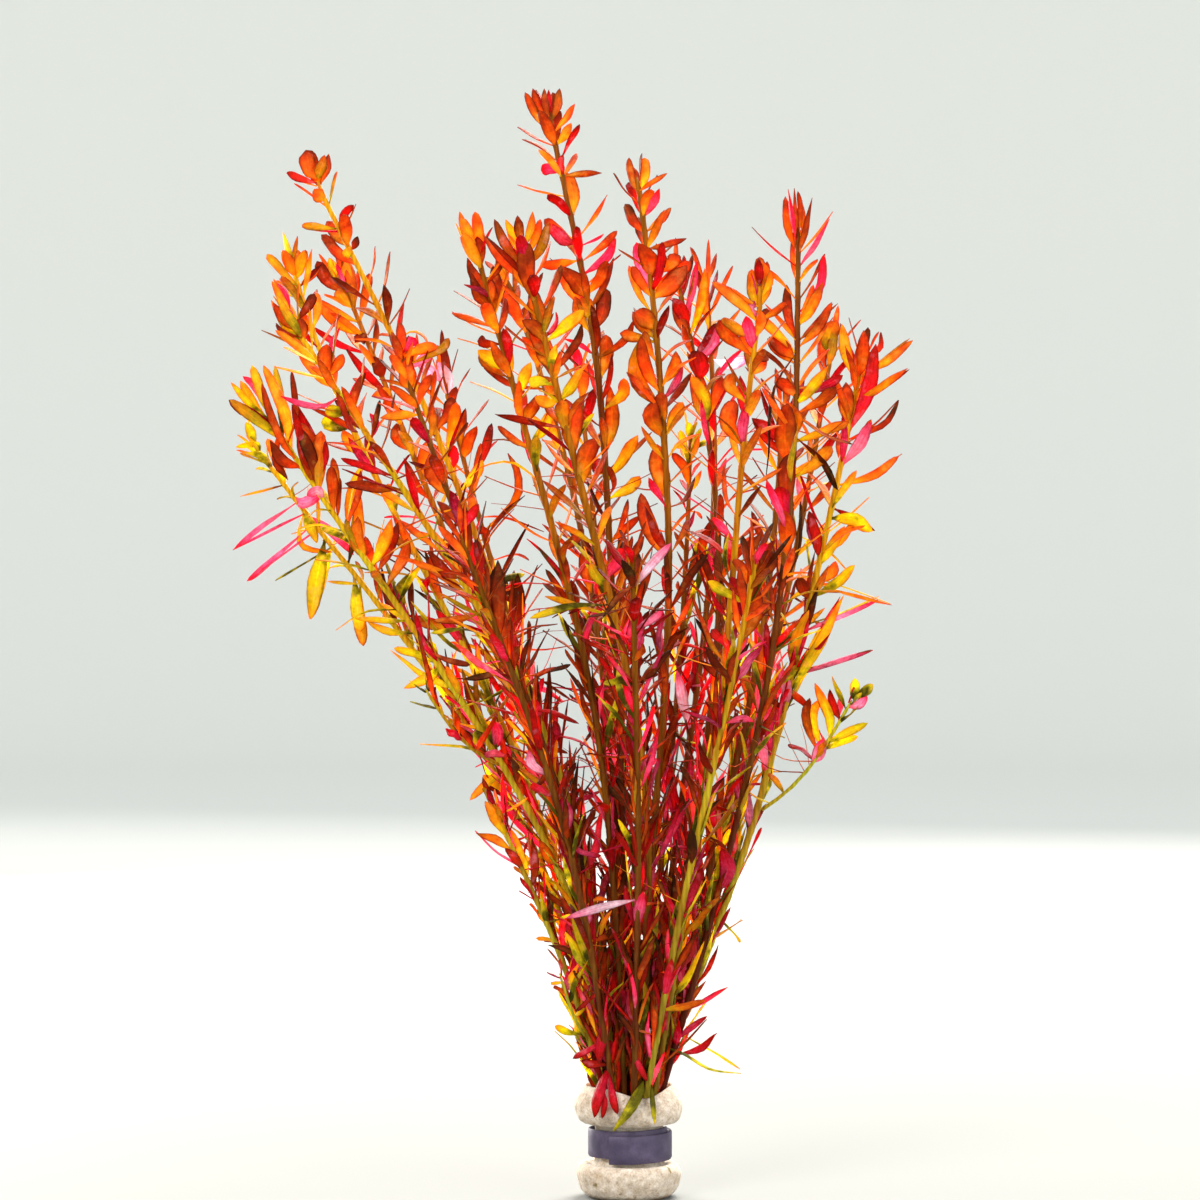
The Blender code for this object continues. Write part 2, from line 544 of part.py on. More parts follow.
def nearest_node(run, spots, x, z):
    """The free node and side of the stem closest to where a leaf is seen to grow."""
    def miss(s):
        point = point_at(run, s)
        scale = 1 + point.y / SIGHT_DISTANCE
        return abs(SIGHT_HEIGHT + (point.z - SIGHT_HEIGHT) / scale - z) + 0.3 * abs(
            SIGHT_X + (point.x - SIGHT_X) / scale - x)
    return min(spots, key=miss)


def place_seen_leaves(room, runs, leaves, taken):
    """The leaves that stand out, each on the node and side that fit it best."""
    chance = random.Random(SEEN_LEAF_SEED)
    for name, foot, tip, width in LEAVES:
        run = runs[name]
        spots = [s for s in node_distances(run) if len(taken[name].get(s, ())) < 4]
        if not spots:
            continue
        best = nearest_node(run, spots, *foot)
        done = None
        for s in sorted(spots, key=lambda spot: abs(spot - best))[:3]:
            centre = point_at(run, s)
            for back in SEEN_LEAF_DEPTHS:
                end = seen(*tip, centre.y + back + chance.uniform(-0.8, 0.8))
                pull = end - centre
                faces = [f for f in range(4) if f not in taken[name].get(s, ())]
                faces.sort(key=lambda f: -face_direction(run, s, f).dot(pull))
                face = faces[0]
                start = centre + face_direction(run, s, face) * radius_at(run, s)
                if (end - start).dot(face_direction(run, s, face)) < 0.3:
                    continue
                bow = face_direction(run, s, face) * SEEN_LEAF_BOW * pull.length
                middle = start.lerp(end, LEAF_BROADEST) + bow
                done = try_leaf(room, run, s, face, middle, end, width)
                if done:
                    break
            if done:
                break
        if done:
            leaves[name].append(done)
            taken[name].setdefault(s, set()).add(face)


def leaf_size(run, s, z, chance):
    """Length, width and lean of a leaf by its place on the stem."""
    top_length, top_width, low_length, low_width = FORMS[run["form"]]
    blend = min(1.0, s / LOW_FORM_REACH)
    length = top_length + (low_length - top_length) * blend
    width = top_width + (low_width - top_width) * blend
    young = min(1.0, YOUNG_SHARE + s / YOUNG_REACH)
    lean = LEAN_AT_TIP + LEAN_GAIN * min(1.0, s / LEAN_REACH) + chance.uniform(-7, 9)
    if z < LOW_LEAN_HEIGHT:
        lean = chance.choice(LOW_LEANS) + chance.uniform(-4, 4)
    return length * young * chance.uniform(0.86, 1.12), width * young * chance.uniform(0.88, 1.1), lean


def place_pair(room, run, index, s, leaves, taken, chance):
    """A pair of opposite leaves on one node, turned a quarter from the pair above."""
    for face in ((index % 2), (index % 2) + 2):
        if face in taken[run["name"]].get(s, ()):
            continue
        centre, up, _, _ = frame_at(run, s)
        for attempt in range(PAIR_TRIES):
            out = face_direction(run, s, face)
            length, width, lean = leaf_size(run, s, centre.z, chance)
            side = up.cross(out)
            wander = math.radians(chance.uniform(-12, 12) * (1 + attempt / 3))
            aside = out * math.cos(wander) + side * math.sin(wander)
            length *= 1 - SMALLER_EACH_TRY * attempt
            angle = math.radians(max(LEAST_LEAN, lean + chance.uniform(-3, 3) * attempt))
            way = up * math.cos(angle) + aside * math.sin(angle)
            start = centre + out * radius_at(run, s) * LEAF_SINK
            middle = start + way * length * LEAF_BROADEST
            bend = up * chance.uniform(-0.05, 0.12) * length
            tip = start + way * length + bend
            done = try_leaf(room, run, s, face, middle, tip, width)
            if done:
                leaves[run["name"]].append(done)
                taken[run["name"]].setdefault(s, set()).add(face)
                break


def grow_leaves(runs):
    room = Room(runs)
    leaves = {name: [] for name in runs}
    taken = {name: {} for name in runs}
    place_seen_leaves(room, runs, leaves, taken)
    chance = random.Random(PAIR_SEED)
    for index in CARRIED_NODES:
        for name, run in runs.items():
            spots = node_distances(run)
            if index < len(spots) and len(taken[name]) < MOST_NODES:
                place_pair(room, run, index, spots[index], leaves, taken, chance)
    return leaves


def raise_leaf(bm, run, face, leaf):
    """Draws a leaf out of one side face of the stem: foot, broad middle, pointed tip."""
    corners = leaf_corners(run, leaf["s"], leaf["face"], leaf["middle"], leaf["tip"], leaf["width"])
    drawn = bmesh.ops.extrude_discrete_faces(bm, faces=[face])["faces"][0]
    left = list(corners[4:8])
    for vert in drawn.verts:
        near = min(range(4), key=lambda k: (corners[k] - vert.co).length)
        vert.co = left[near]
    end = bmesh.ops.extrude_discrete_faces(bm, faces=[drawn])["faces"][0]
    bmesh.ops.pointmerge(bm, verts=list(end.verts), merge_co=corners[8])


def stem_mesh(run, leaves):
    """A four-sided tube drawn up ring by ring, with its leaves drawn out of its sides."""
    by_node = {}
    for leaf in leaves:
        by_node.setdefault(leaf["s"], []).append(leaf)
    rings = [(run["length"], None)]
    for height in RING_HEIGHTS:
        if point_at(run, run["length"]).z < height:
            rings.append((float(np.interp(-height, -run["points"][:, 2], run["along"])), None))
    for s in sorted(by_node, reverse=True):
        rings += [(s + LEAF_FOOT_HALF_HEIGHT, None), (s - LEAF_FOOT_HALF_HEIGHT, s)]
    rings.append((0.0, None))
    filled = []
    for above, below in zip(rings, rings[1:]):
        filled.append(above)
        gap = above[0] - below[0]
        extra = int(gap // LONGEST_RING_GAP)
        filled += [(above[0] - gap * (k + 1) / (extra + 1), None) for k in range(extra)]
    filled.append(rings[-1])
    bm = bmesh.new()
    first = filled[0][0]
    verts = [bm.verts.new(p) for p in ring_points(run, first, radius_at(run, first))]
    cap = bm.faces.new(verts)
    chosen = []
    for s, node in filled[1:]:
        radius = radius_at(run, s) * (TIP_POINT if s == 0 else 1.0)
        cap = bmesh.ops.extrude_discrete_faces(bm, faces=[cap])["faces"][0]
        goals = ring_points(run, s, radius)
        centre = sum(goals, Vector()) / 4
        before = sum((v.co for v in cap.verts), Vector()) / 4
        for vert in cap.verts:
            ray = (vert.co - before).normalized()
            vert.co = max(goals, key=lambda goal: (goal - centre).normalized().dot(ray))
        if node is not None:
            for leaf in by_node[node]:
                out = face_direction(run, node, leaf["face"])
                sides = [f for e in cap.edges for f in e.link_faces if f is not cap]
                side = max(sides, key=lambda f: (f.calc_center_median() - centre).dot(out))
                chosen.append((side, leaf))
    bm.faces.new(reversed(verts))
    for side, leaf in chosen:
        raise_leaf(bm, run, side, leaf)
    bmesh.ops.recalc_face_normals(bm, faces=bm.faces)
    bmesh.ops.scale(bm, vec=(MM, MM, MM), verts=bm.verts)
    bmesh.ops.triangulate(bm, faces=bm.faces)
    mesh = bpy.data.meshes.new(run["name"])
    bm.to_mesh(mesh)
    bm.free()
    return mesh


def foam_profile():
    """Half section of the sleeve: up the outside from the foot, over the rim and down the bore."""
    waist_low = STRIP_MIDDLE_HEIGHT - STRIP_WIDTH / 2 - WAIST_ROOM_BELOW
    waist_high = STRIP_MIDDLE_HEIGHT + STRIP_WIDTH / 2 + WAIST_ROOM_ABOVE
    outside = [
        (FOAM_FOOT_RADIUS, 0.0),
        (FOAM_LOWER_BULGE - 1.8, 1.2),
        (FOAM_LOWER_BULGE - 0.6, 3.6),
        (FOAM_LOWER_BULGE, 6.4),
        (FOAM_LOWER_BULGE - 0.6, 8.3),
        (FOAM_LOWER_BULGE - 2.0, waist_low - 0.4),
        (FOAM_WAIST_RADIUS, waist_low),
        (FOAM_WAIST_RADIUS, waist_high),
        (FOAM_UPPER_BULGE - 2.0, waist_high + 0.6),
        (FOAM_UPPER_BULGE - 0.4, waist_high + 2.2),
        (FOAM_UPPER_BULGE, waist_high + 4.8),
        (FOAM_UPPER_BULGE - 0.5, FOAM_HEIGHT - 3.2),
        (FOAM_RIM_RADIUS, FOAM_HEIGHT - 0.6),
        ((FOAM_RIM_RADIUS + FOAM_MOUTH_RADIUS) / 2, FOAM_HEIGHT),
    ]
    inside = [
        (FOAM_MOUTH_RADIUS, FOAM_HEIGHT - 0.4),
        (FOAM_BORE_RADIUS, FOAM_BORE_TOP),
        (FOAM_BORE_RADIUS, 0.0),
    ]
    return outside + inside


def rim_dip(angle, height):
    """How far the sleeve is pressed down at the front of its rim."""
    turn = math.remainder(angle - RIM_DIP_ANGLE, 2 * math.pi)
    share = min(1.0, max(0.0, (height - RIM_DIP_START) / (FOAM_HEIGHT - RIM_DIP_START)))
    return RIM_DIP * share * math.exp(-(turn / RIM_DIP_REACH) ** 2)


def build_foam(collection):
    profile = bpy.data.meshes.new("foam_section")
    points = [(r * MM, 0.0, z * MM) for r, z in reversed(foam_profile())]
    count = len(points)
    profile.from_pydata(points, [(k, (k + 1) % count) for k in range(count)], [])
    guide = bpy.data.objects.new("foam_section", profile)
    collection.objects.link(guide)
    screw = guide.modifiers.new("turned", "SCREW")
    screw.steps = FOAM_SIDES
    screw.render_steps = FOAM_SIDES
    screw.use_merge_vertices = True
    screw.merge_threshold = 0.0001
    bpy.context.view_layer.update()
    mesh = bpy.data.meshes.new_from_object(guide.evaluated_get(bpy.context.evaluated_depsgraph_get()))
    bpy.data.objects.remove(guide)
    strip_inside = FOAM_WAIST_RADIUS + 0.01
    for vert in mesh.vertices:
        radius = math.hypot(vert.co.x, vert.co.y) / MM
        height = vert.co.z / MM
        if radius > strip_inside and height > 0.1:
            lump = noise.noise(Vector(vert.co) / (FOAM_LUMP_SIZE * MM)) * FOAM_LUMP
            scale = 1 + lump / radius
            vert.co.x *= scale
            vert.co.y *= scale
        vert.co.z -= rim_dip(math.atan2(vert.co.y, vert.co.x), height) * MM
    bm = bmesh.new()
    bm.from_mesh(mesh)
    bmesh.ops.recalc_face_normals(bm, faces=bm.faces)
    bmesh.ops.triangulate(bm, faces=bm.faces)
    bm.to_mesh(mesh)
    bm.free()
    mesh.name = "foam_wrap"
    mesh.shade_smooth()
    mesh.set_sharp_from_angle(angle=math.radians(60))
    return add_object("foam_wrap", mesh, material("cream_foam", FOAM_COLOUR, 0.9), collection)


def strip_place(turns):
    """Radius, angle and middle height of the strip's centre line, counted in turns from its inner end."""
    radius = FOAM_WAIST_RADIUS + GAP + STRIP_THICK / 2 + STRIP_PITCH * turns
    angle = STRIP_END_ANGLE + math.radians(360) * (STRIP_TURNS - turns)
    height = STRIP_MIDDLE_HEIGHT + STRIP_LAP_DROP * (STRIP_LAP_START - turns / STRIP_TURNS)
    return radius, angle, height


def build_strip(collection):
    """A flat band wound round the waist in a slow spiral, so that its outer end laps over."""
    steps = round(STRIP_STEPS_PER_TURN * STRIP_TURNS)
    bm = bmesh.new()

    def section(turns):
        radius, angle, height = strip_place(turns)
        out = Vector((math.cos(angle), math.sin(angle), 0))
        middle = out * radius + Vector((0, 0, height))
        return [middle + out * a * STRIP_THICK / 2 + Vector((0, 0, b * STRIP_WIDTH / 2))
                for a, b in ((-1, -1), (1, -1), (1, 1), (-1, 1))]

    foot = [bm.verts.new(p) for p in section(0)]
    cap = bm.faces.new(foot)
    for step in range(1, steps + 1):
        before = section((step - 1) * STRIP_TURNS / steps)
        after = section(step * STRIP_TURNS / steps)
        cap = bmesh.ops.extrude_discrete_faces(bm, faces=[cap])["faces"][0]
        for vert in cap.verts:
            near = min(range(4), key=lambda k: (before[k] - vert.co).length)
            vert.co = after[near]
    bm.faces.new(reversed(foot))
    bmesh.ops.recalc_face_normals(bm, faces=bm.faces)
    bmesh.ops.scale(bm, vec=(MM, MM, MM), verts=bm.verts)
    bmesh.ops.triangulate(bm, faces=bm.faces)
    mesh = bpy.data.meshes.new("lead_strip")
    bm.to_mesh(mesh)
    bm.free()
    mesh.shade_smooth()
    mesh.set_sharp_from_angle(angle=math.radians(40))
    return add_object("lead_strip", mesh, material("dark_lead", STRIP_COLOUR, 0.55, 0.6), collection)


def build_stems(collection):
    runs = all_runs()
    leaves = grow_leaves(runs)
    for name, run in runs.items():
        mesh = stem_mesh(run, leaves[name])
        mesh.shade_smooth()
        mesh.set_sharp_from_angle(angle=math.radians(35))
        colour = STEM_COLOURS[TONES.get(name, "orange")]
        add_object(name, mesh, material(name + "_leaf", colour, 0.45), collection)


def main():
    clear_scene()
    collection = bpy.data.collections.new("rotala")
    bpy.context.scene.collection.children.link(collection)
    build_foam(collection)
    build_strip(collection)
    build_stems(collection)


main()
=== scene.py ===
"""A bunch of cut rotala, dressed: leafy stems in a foam sleeve with a lead strip, on a pale floor."""

import math
import random

import bmesh
import bpy
import numpy as np
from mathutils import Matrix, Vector, noise
from mathutils.bvhtree import BVHTree


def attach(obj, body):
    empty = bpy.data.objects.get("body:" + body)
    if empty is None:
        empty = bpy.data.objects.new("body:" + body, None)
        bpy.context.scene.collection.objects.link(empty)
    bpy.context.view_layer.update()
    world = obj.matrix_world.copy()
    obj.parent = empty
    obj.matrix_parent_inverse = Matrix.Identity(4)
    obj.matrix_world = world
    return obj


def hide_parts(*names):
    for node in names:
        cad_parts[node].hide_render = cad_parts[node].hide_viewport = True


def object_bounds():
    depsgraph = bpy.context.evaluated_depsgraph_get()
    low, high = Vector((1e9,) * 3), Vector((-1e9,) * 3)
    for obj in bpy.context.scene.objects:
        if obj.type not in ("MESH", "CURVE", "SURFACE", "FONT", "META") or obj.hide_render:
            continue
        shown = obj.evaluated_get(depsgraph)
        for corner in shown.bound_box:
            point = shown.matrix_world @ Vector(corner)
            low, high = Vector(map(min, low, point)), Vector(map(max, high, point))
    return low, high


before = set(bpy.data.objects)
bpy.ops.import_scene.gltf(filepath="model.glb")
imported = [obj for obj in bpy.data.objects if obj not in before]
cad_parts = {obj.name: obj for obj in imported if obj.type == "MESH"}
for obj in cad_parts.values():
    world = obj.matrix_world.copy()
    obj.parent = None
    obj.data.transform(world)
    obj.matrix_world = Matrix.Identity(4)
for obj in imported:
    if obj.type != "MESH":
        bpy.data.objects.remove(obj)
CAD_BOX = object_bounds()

# Sizes are in millimetres, and MM turns them into metres.
MM = 0.001
GAP = 0.3

# Foam sleeve
FOAM_HEIGHT = 28.8
FOAM_FOOT_RADIUS = 9.8
FOAM_LOWER_BULGE = 13.6
FOAM_WAIST_RADIUS = 9.0
FOAM_UPPER_BULGE = 14.0
FOAM_RIM_RADIUS = 12.2
FOAM_BORE_RADIUS = 7.6
FOAM_MOUTH_RADIUS = 10.9
FOAM_BORE_TOP = 18.0
RIM_DIP = 2.4
RIM_DIP_ANGLE = math.radians(-70.0)
RIM_DIP_REACH = math.radians(32.0)
RIM_DIP_START = 20.0
WAIST_ROOM_BELOW = 1.25
WAIST_ROOM_ABOVE = 1.0

# Lead strip
STRIP_THICK = 0.8
STRIP_WIDTH = 7.2
STRIP_TURNS = 1.3
STRIP_PITCH = STRIP_THICK + GAP
STRIP_MIDDLE_HEIGHT = 14.2
STRIP_END_ANGLE = math.radians(-117.0)
STRIP_LAP_DROP = 1.6
STRIP_LAP_START = 0.42

# Stems and leaves. One stem stands on the axis, with its cut end level with the foot of the foam.
STEM_FOOT = 0.0
FAN_HEIGHT = 30.0
AXIS_STEM = "stem_09"
LEVEL_STEP = 6.0
STEM_CLEARANCE = 0.55
TIP_TAPER = 0.75
TAPER_REACH = 60.0
FIRST_NODES = (1.2, 3.6, 6.6, 10.0, 14.0, 18.5, 23.5, 29.0, 35.0)
NODE_SPACING = 6.2
LOWEST_LEAF = 38.0
LEAF_THICK = 0.6
ROOT_DEPTH = 0.72
LEAF_MIDDLE = 0.46
LEAF_CLEARANCE = 0.35
CARRIED_NODES = (0, 2, 5, 8, 12, 16, 21, 26)
MOST_NODES = 8
GROWN_REACH = 70
YOUNG_REACH = 30
LEANING_REACH = 14
LOW_LEAVES_HEIGHT = 130
LOW_LEANS = (14, 18, 22, 26, 34, 48)
DEPTH_STEPS = (0, -2, 2, -4, 4, -7, 7)
TWIST_PER_MM = 0.012
START_TURN = 0.7
SEEN_SEED = 11
PAIR_SEED = 23
PAIR_TRIES = 9
SHOOT_STEPS = 6
SHOOT_SAG = 0.10

# How the stems' spread narrows to the foam, and how they are moved apart from one another
HIGHEST_LEVEL = 300
DEPTH_START = 12
MOUTH_HEIGHT = 31
SPREAD_LIMIT = 24
FOOT_SHARE = 0.30
MOUTH_SHARE = 0.44
STRAIGHT_HEIGHT = 19
SETTLE_TURNS = 900
SMOOTHED_TURNS = 840
FIRM_TURNS = 500
FIRM_PULL = 0.02
SOFT_PULL = 0.004
STIFFNESS = 0.20
PUSH_SHARE = 0.42

# The bunch spreads from this point; runs and leaves are given as seen from the front
# at this distance, so a point that stands back moves along the line of sight.
SIGHT_DISTANCE = 1000.0
SIGHT_X = -7.5
SIGHT_HEIGHT = 155.0

# Leaf forms: length and width near the tip of a stem, then further down
FORMS = {
    "oval": (10.5, 3.9, 14.5, 2.9),
    "slender": (14.0, 2.9, 17.0, 2.5),
    "small": (6.5, 2.2, 8.5, 2.0),
}

# name, depth of the tip behind the middle, foot radius, leaf form, run from tip to foot (x, z)
STEMS = (
    ("stem_01", -12, 0.92, "oval", (
        (-81, 264), (-76, 251), (-69, 240), (-62, 228), (-55, 214), (-46, 194), (-34, 155), (-22, 127),
        (-13, 95))),
    ("stem_02", 8, 0.90, "oval", (
        (-87, 243), (-86, 224), (-82, 213), (-72, 194), (-59, 173), (-46, 150), (-28, 119), (-15, 88))),
    ("stem_03", -26, 0.95, "slender", (
        (-88, 229), (-84, 221), (-74, 207), (-61, 189), (-49, 169), (-41, 158), (-30, 146), (-16, 121),
        (-9, 95))),
    ("stem_04", 24, 0.90, "oval", (
        (-75, 240), (-71, 226), (-61, 210), (-58, 197), (-51, 176), (-38, 150), (-23, 119), (-12, 88))),
    ("stem_05", -4, 0.98, "slender", (
        (-93, 203), (-88, 192), (-83, 184), (-77, 176), (-67, 163), (-59, 152), (-50, 143), (-44, 129),
        (-33, 116), (-19, 98), (-12, 87), (-8, 76))),
    ("stem_06", 16, 0.90, "small", (
        (-98, 196), (-92, 188), (-84, 174), (-69, 160), (-60, 152), (-49, 135), (-36, 120), (-25, 101),
        (-14, 80))),
    ("stem_07", -36, 0.95, "oval", (
        (-40, 248), (-36, 230), (-33, 219), (-29, 208), (-27, 197), (-22, 182), (-14, 158), (-8, 135),
        (-4, 105))),
    ("stem_08", -50, 1.05, "oval", (
        (-28, 248), (-26, 236), (-20, 218), (-18, 208), (-15, 191), (-11, 176), (-6, 162), (-1, 146),
        (4, 130), (7, 114), (8, 90), (5, 53))),
    ("stem_09", 6, 1.00, "oval", (
        (-21, 283), (-19, 269), (-13, 251), (-8, 229), (-5, 211), (-5, 195), (-6, 182), (-4, 150),
        (-2, 120), (-1, 90))),
    ("stem_10", -22, 0.98, "oval", (
        (2, 265), (5, 249), (8, 230), (9, 216), (9, 203), (12, 176), (13, 161), (11, 144), (10, 128),
        (8, 111), (5, 85))),
    ("stem_11", 28, 0.92, "slender", (
        (12, 240), (18, 221), (22, 203), (26, 176), (27, 167), (26, 147), (23, 124), (16, 95))),
    ("stem_12", -42, 0.92, "oval", (
        (34, 238), (34, 228), (31, 216), (29, 204), (28, 193), (28, 155), (24, 120), (17, 92))),
    ("stem_13", -14, 0.98, "slender", (
        (44, 252), (44, 236), (45, 210), (44, 188), (41, 161), (40, 147), (36, 124), (29, 98))),
    ("stem_14", 6, 1.00, "slender", (
        (61, 219), (59, 210), (58, 198), (55, 186), (52, 176), (49, 162), (46, 147), (42, 131), (38, 114),
        (33, 88), (25, 73), (18, 61), (14, 43))),
    ("stem_15", 46, 0.85, "small", (
        (16, 200), (16, 182), (15, 150), (12, 120), (8, 85))),
    ("stem_16", -38, 0.90, "oval", (
        (-59, 219), (-56, 205), (-50, 188), (-42, 167), (-31, 143), (-20, 119), (-11, 90))),
    ("stem_17", 44, 0.90, "slender", (
        (-48, 214), (-46, 200), (-42, 186), (-38, 170), (-31, 145), (-20, 118), (-11, 88))),
    ("stem_18", 54, 0.92, "oval", (
        (-33, 240), (-26, 228), (-21, 214), (-15, 194), (-10, 172), (-6, 140), (-3, 100))),
    ("stem_19", 64, 0.92, "oval", (
        (-13, 216), (-12, 200), (-9, 175), (-5, 140), (-2, 100))),
    ("stem_20", 54, 0.92, "slender", (
        (20, 238), (22, 222), (24, 200), (24, 172), (20, 140), (12, 98))),
    ("stem_21", 34, 0.92, "slender", (
        (53, 222), (51, 208), (48, 190), (44, 166), (38, 136), (26, 100))),
    ("stem_22", 18, 0.95, "slender", (
        (40, 206), (40, 190), (39, 170), (37, 145), (30, 114), (20, 86))),
    ("stem_23", -56, 0.92, "oval", (
        (1, 168), (1, 150), (2, 128), (3, 105), (3, 80))),
    ("stem_24", -52, 0.92, "oval", (
        (33, 168), (31, 150), (27, 130), (20, 102), (13, 78))),
    ("stem_25", -52, 0.92, "slender", (
        (-44, 172), (-38, 156), (-30, 138), (-20, 114), (-11, 84))),
    ("stem_26", -12, 0.88, "small", (
        (-36, 103), (-31, 92), (-27, 84), (-20, 74), (-14.5, 65), (-12, 55), (-10, 46))),
)

# name, stem that it forks from, height of the fork, depth and position of the tip, radius
SHOOTS = (
    ("side_shoot_01", "stem_14", 100.0, -16, (58, 129), 0.62),
    ("side_shoot_02", "stem_05", 112.0, -22, (-53, 132), 0.60),
    ("side_shoot_03", "stem_26", 42.0, -16, (-18, 58), 0.55),
)

# Leaves that stand out from the bunch, stem by stem: x and z of the foot, x and z of the tip, width
LEAVES = (
    ("stem_09", (
        (-21, 276, -27, 287, 2.6), (-21, 279, -25, 288, 2.8), (-20, 279, -18, 288, 2.6),
        (-20, 280, -22, 288, 2.2), (-20, 272, -29, 278, 2), (-20, 278, -14, 284, 2.2),
        (-19, 272, -15, 279, 2.8), (-14, 255, -16, 266, 4.2), (-17, 260, -29, 263, 1.4),
        (-15, 263, -7, 266, 2.2), (-13, 247, -22, 254, 3.4), (-10, 234, -18, 242, 3.6),
        (-9, 234, -4, 244, 2.2), (-7, 242, -3, 251, 2.4), (-6, 227, -6, 236, 5),
        (-8, 227, -14, 234, 3.4), (-6, 212, -6, 224, 4.4), (-5, 197, -5, 211, 4.6))),
    ("stem_10", (
        (3, 261, 0, 270, 2.4), (3, 262, 4, 270, 3.2), (3, 259, -4, 266, 1.8), (5, 260, 10, 266, 1.8),
        (4, 255, 8, 262, 2.6), (4, 249, -1, 258, 3.4), (6, 250, 11, 257, 2.2), (7, 245, 15, 249, 2.2),
        (6, 238, 2, 248, 4.2), (7, 232, 0, 242, 2.4), (10, 233, 16, 243, 4.4), (8, 226, 1, 230, 3.6),
        (9, 214, 4, 225, 2.6), (7, 197, 7, 208, 4.4))),
    ("stem_01", (
        (-81, 264, -84, 272, 4.8), (-81, 262, -89, 266, 1.8), (-80, 264, -78, 271, 2.4),
        (-76, 252, -71, 258, 1.6), (-76, 251, -85, 252, 1.6), (-74, 244, -80, 250, 3.6),
        (-70, 239, -66, 247, 1.8), (-63, 229, -57, 236, 2), (-56, 218, -49, 221, 2.8))),
    ("stem_02", (
        (-87, 238, -90, 246, 2.2), (-87, 238, -86, 246, 2.4), (-87, 239, -84, 246, 2.2),
        (-87, 232, -92, 238, 2.4), (-86, 236, -80, 242, 2.2), (-86, 227, -81, 235, 3))),
    ("stem_03", (
        (-86, 222, -93, 233, 3), (-84, 222, -85, 230, 3.6))),
    ("stem_04", (
        (-76, 234, -81, 243, 3.4), (-73, 231, -74, 244, 3.6), (-71, 226, -82, 233, 3.2),
        (-62, 209, -74, 221, 2.6))),
    ("stem_05", (
        (-88, 193, -95, 216, 3.6), (-89, 197, -101, 212, 3.4), (-93, 199, -104, 207, 3.4),
        (-90, 197, -92, 216, 2.6), (-91, 202, -98, 216, 3), (-82, 185, -87, 207, 3),
        (-82, 184, -80, 199, 4.4), (-78, 180, -77, 192, 2.6), (-52, 132, -62, 142, 2.2),
        (-33, 122, -48, 125, 1.6))),
    ("stem_06", (
        (-95, 195, -99, 202, 2), (-95, 193, -102, 194, 1.8), (-89, 187, -94, 197, 3.2),
        (-89, 186, -101, 182, 1.6), (-88, 178, -103, 168, 2), (-85, 172, -99, 160, 2),
        (-81, 170, -83, 150, 4), (-71, 161, -69, 143, 3.8), (-82, 168, -92, 160, 2),
        (-69, 166, -70, 182, 3.2))),
    ("stem_07", (
        (-39, 246, -44, 256, 2.6), (-38, 244, -40, 256, 3.2), (-38, 245, -45, 253, 2),
        (-37, 232, -42, 244, 2.8), (-36, 231, -37, 239, 4), (-35, 225, -46, 230, 1.4),
        (-32, 213, -39, 219, 3.2), (-30, 213, -32, 226, 2.6))),
    ("stem_08", (
        (-29, 242, -35, 254, 2.8), (-28, 245, -32, 254, 2.8), (-28, 246, -29, 255, 2.6),
        (-27, 246, -25, 256, 2.4), (-27, 243, -23, 254, 2.4), (-25, 241, -20, 253, 1.8),
        (-26, 234, -28, 250, 3.4), (-28, 238, -38, 250, 2.4), (-24, 226, -25, 236, 4),
        (-19, 222, -13, 229, 2), (-19, 212, -12, 216, 2), (-19, 212, -26, 212, 2.6))),
    ("stem_11", (
        (13, 236, 12, 245, 3), (16, 224, 12, 233, 3.6), (16, 230, 18, 243, 1.8),
        (19, 218, 23, 227, 3.4), (19, 211, 17, 220, 3.4), (22, 202, 16, 213, 3))),
    ("stem_20", ((21, 225, 20, 241, 2.4),)),
    ("stem_12", (
        (33, 232, 32, 241, 3.4), (34, 233, 36, 243, 2.8), (33, 230, 22, 238, 2),
        (34, 228, 41, 232, 1.6), (32, 218, 30, 225, 3.6), (30, 218, 24, 228, 3.4),
        (30, 216, 36, 218, 2.6))),
    ("stem_13", (
        (44, 237, 44, 252, 3.2), (43, 247, 44, 257, 2.4), (44, 249, 45, 259, 2),
        (43, 243, 32, 252, 1.2), (45, 244, 53, 256, 1.4), (43, 225, 41, 237, 3),
        (46, 232, 51, 245, 1.6), (45, 226, 48, 237, 2.2), (46, 220, 53, 232, 2.4),
        (43, 216, 36, 223, 3), (45, 208, 54, 210, 2.6), (44, 192, 32, 202, 2.4))),
    ("stem_21", (
        (52, 215, 54, 227, 3), (51, 213, 51, 226, 3.2))),
    ("stem_14", (
        (60, 211, 61, 225, 3), (59, 205, 64, 221, 3), (59, 215, 55, 227, 2.2), (60, 211, 73, 223, 1.6),
        (60, 204, 73, 215, 1.6), (59, 196, 70, 207, 1.8), (56, 188, 63, 202, 2.4),
        (56, 184, 71, 193, 1.8), (53, 176, 64, 173, 2.4), (50, 166, 47, 178, 2.6),
        (51, 166, 59, 176, 2.4), (49, 158, 68, 154, 1.2), (46, 147, 65, 156, 1.6),
        (45, 136, 63, 142, 1.6), (43, 136, 55, 156, 2.6), (41, 136, 46, 152, 3))),
    ("stem_26", (
        (-30, 93, -38, 109, 1.8), (-28, 88, -40, 95, 1.8))),
    ("stem_14", (
        (24, 71, 29, 66, 1.8), (13, 40, 29, 33, 1.4))),
)

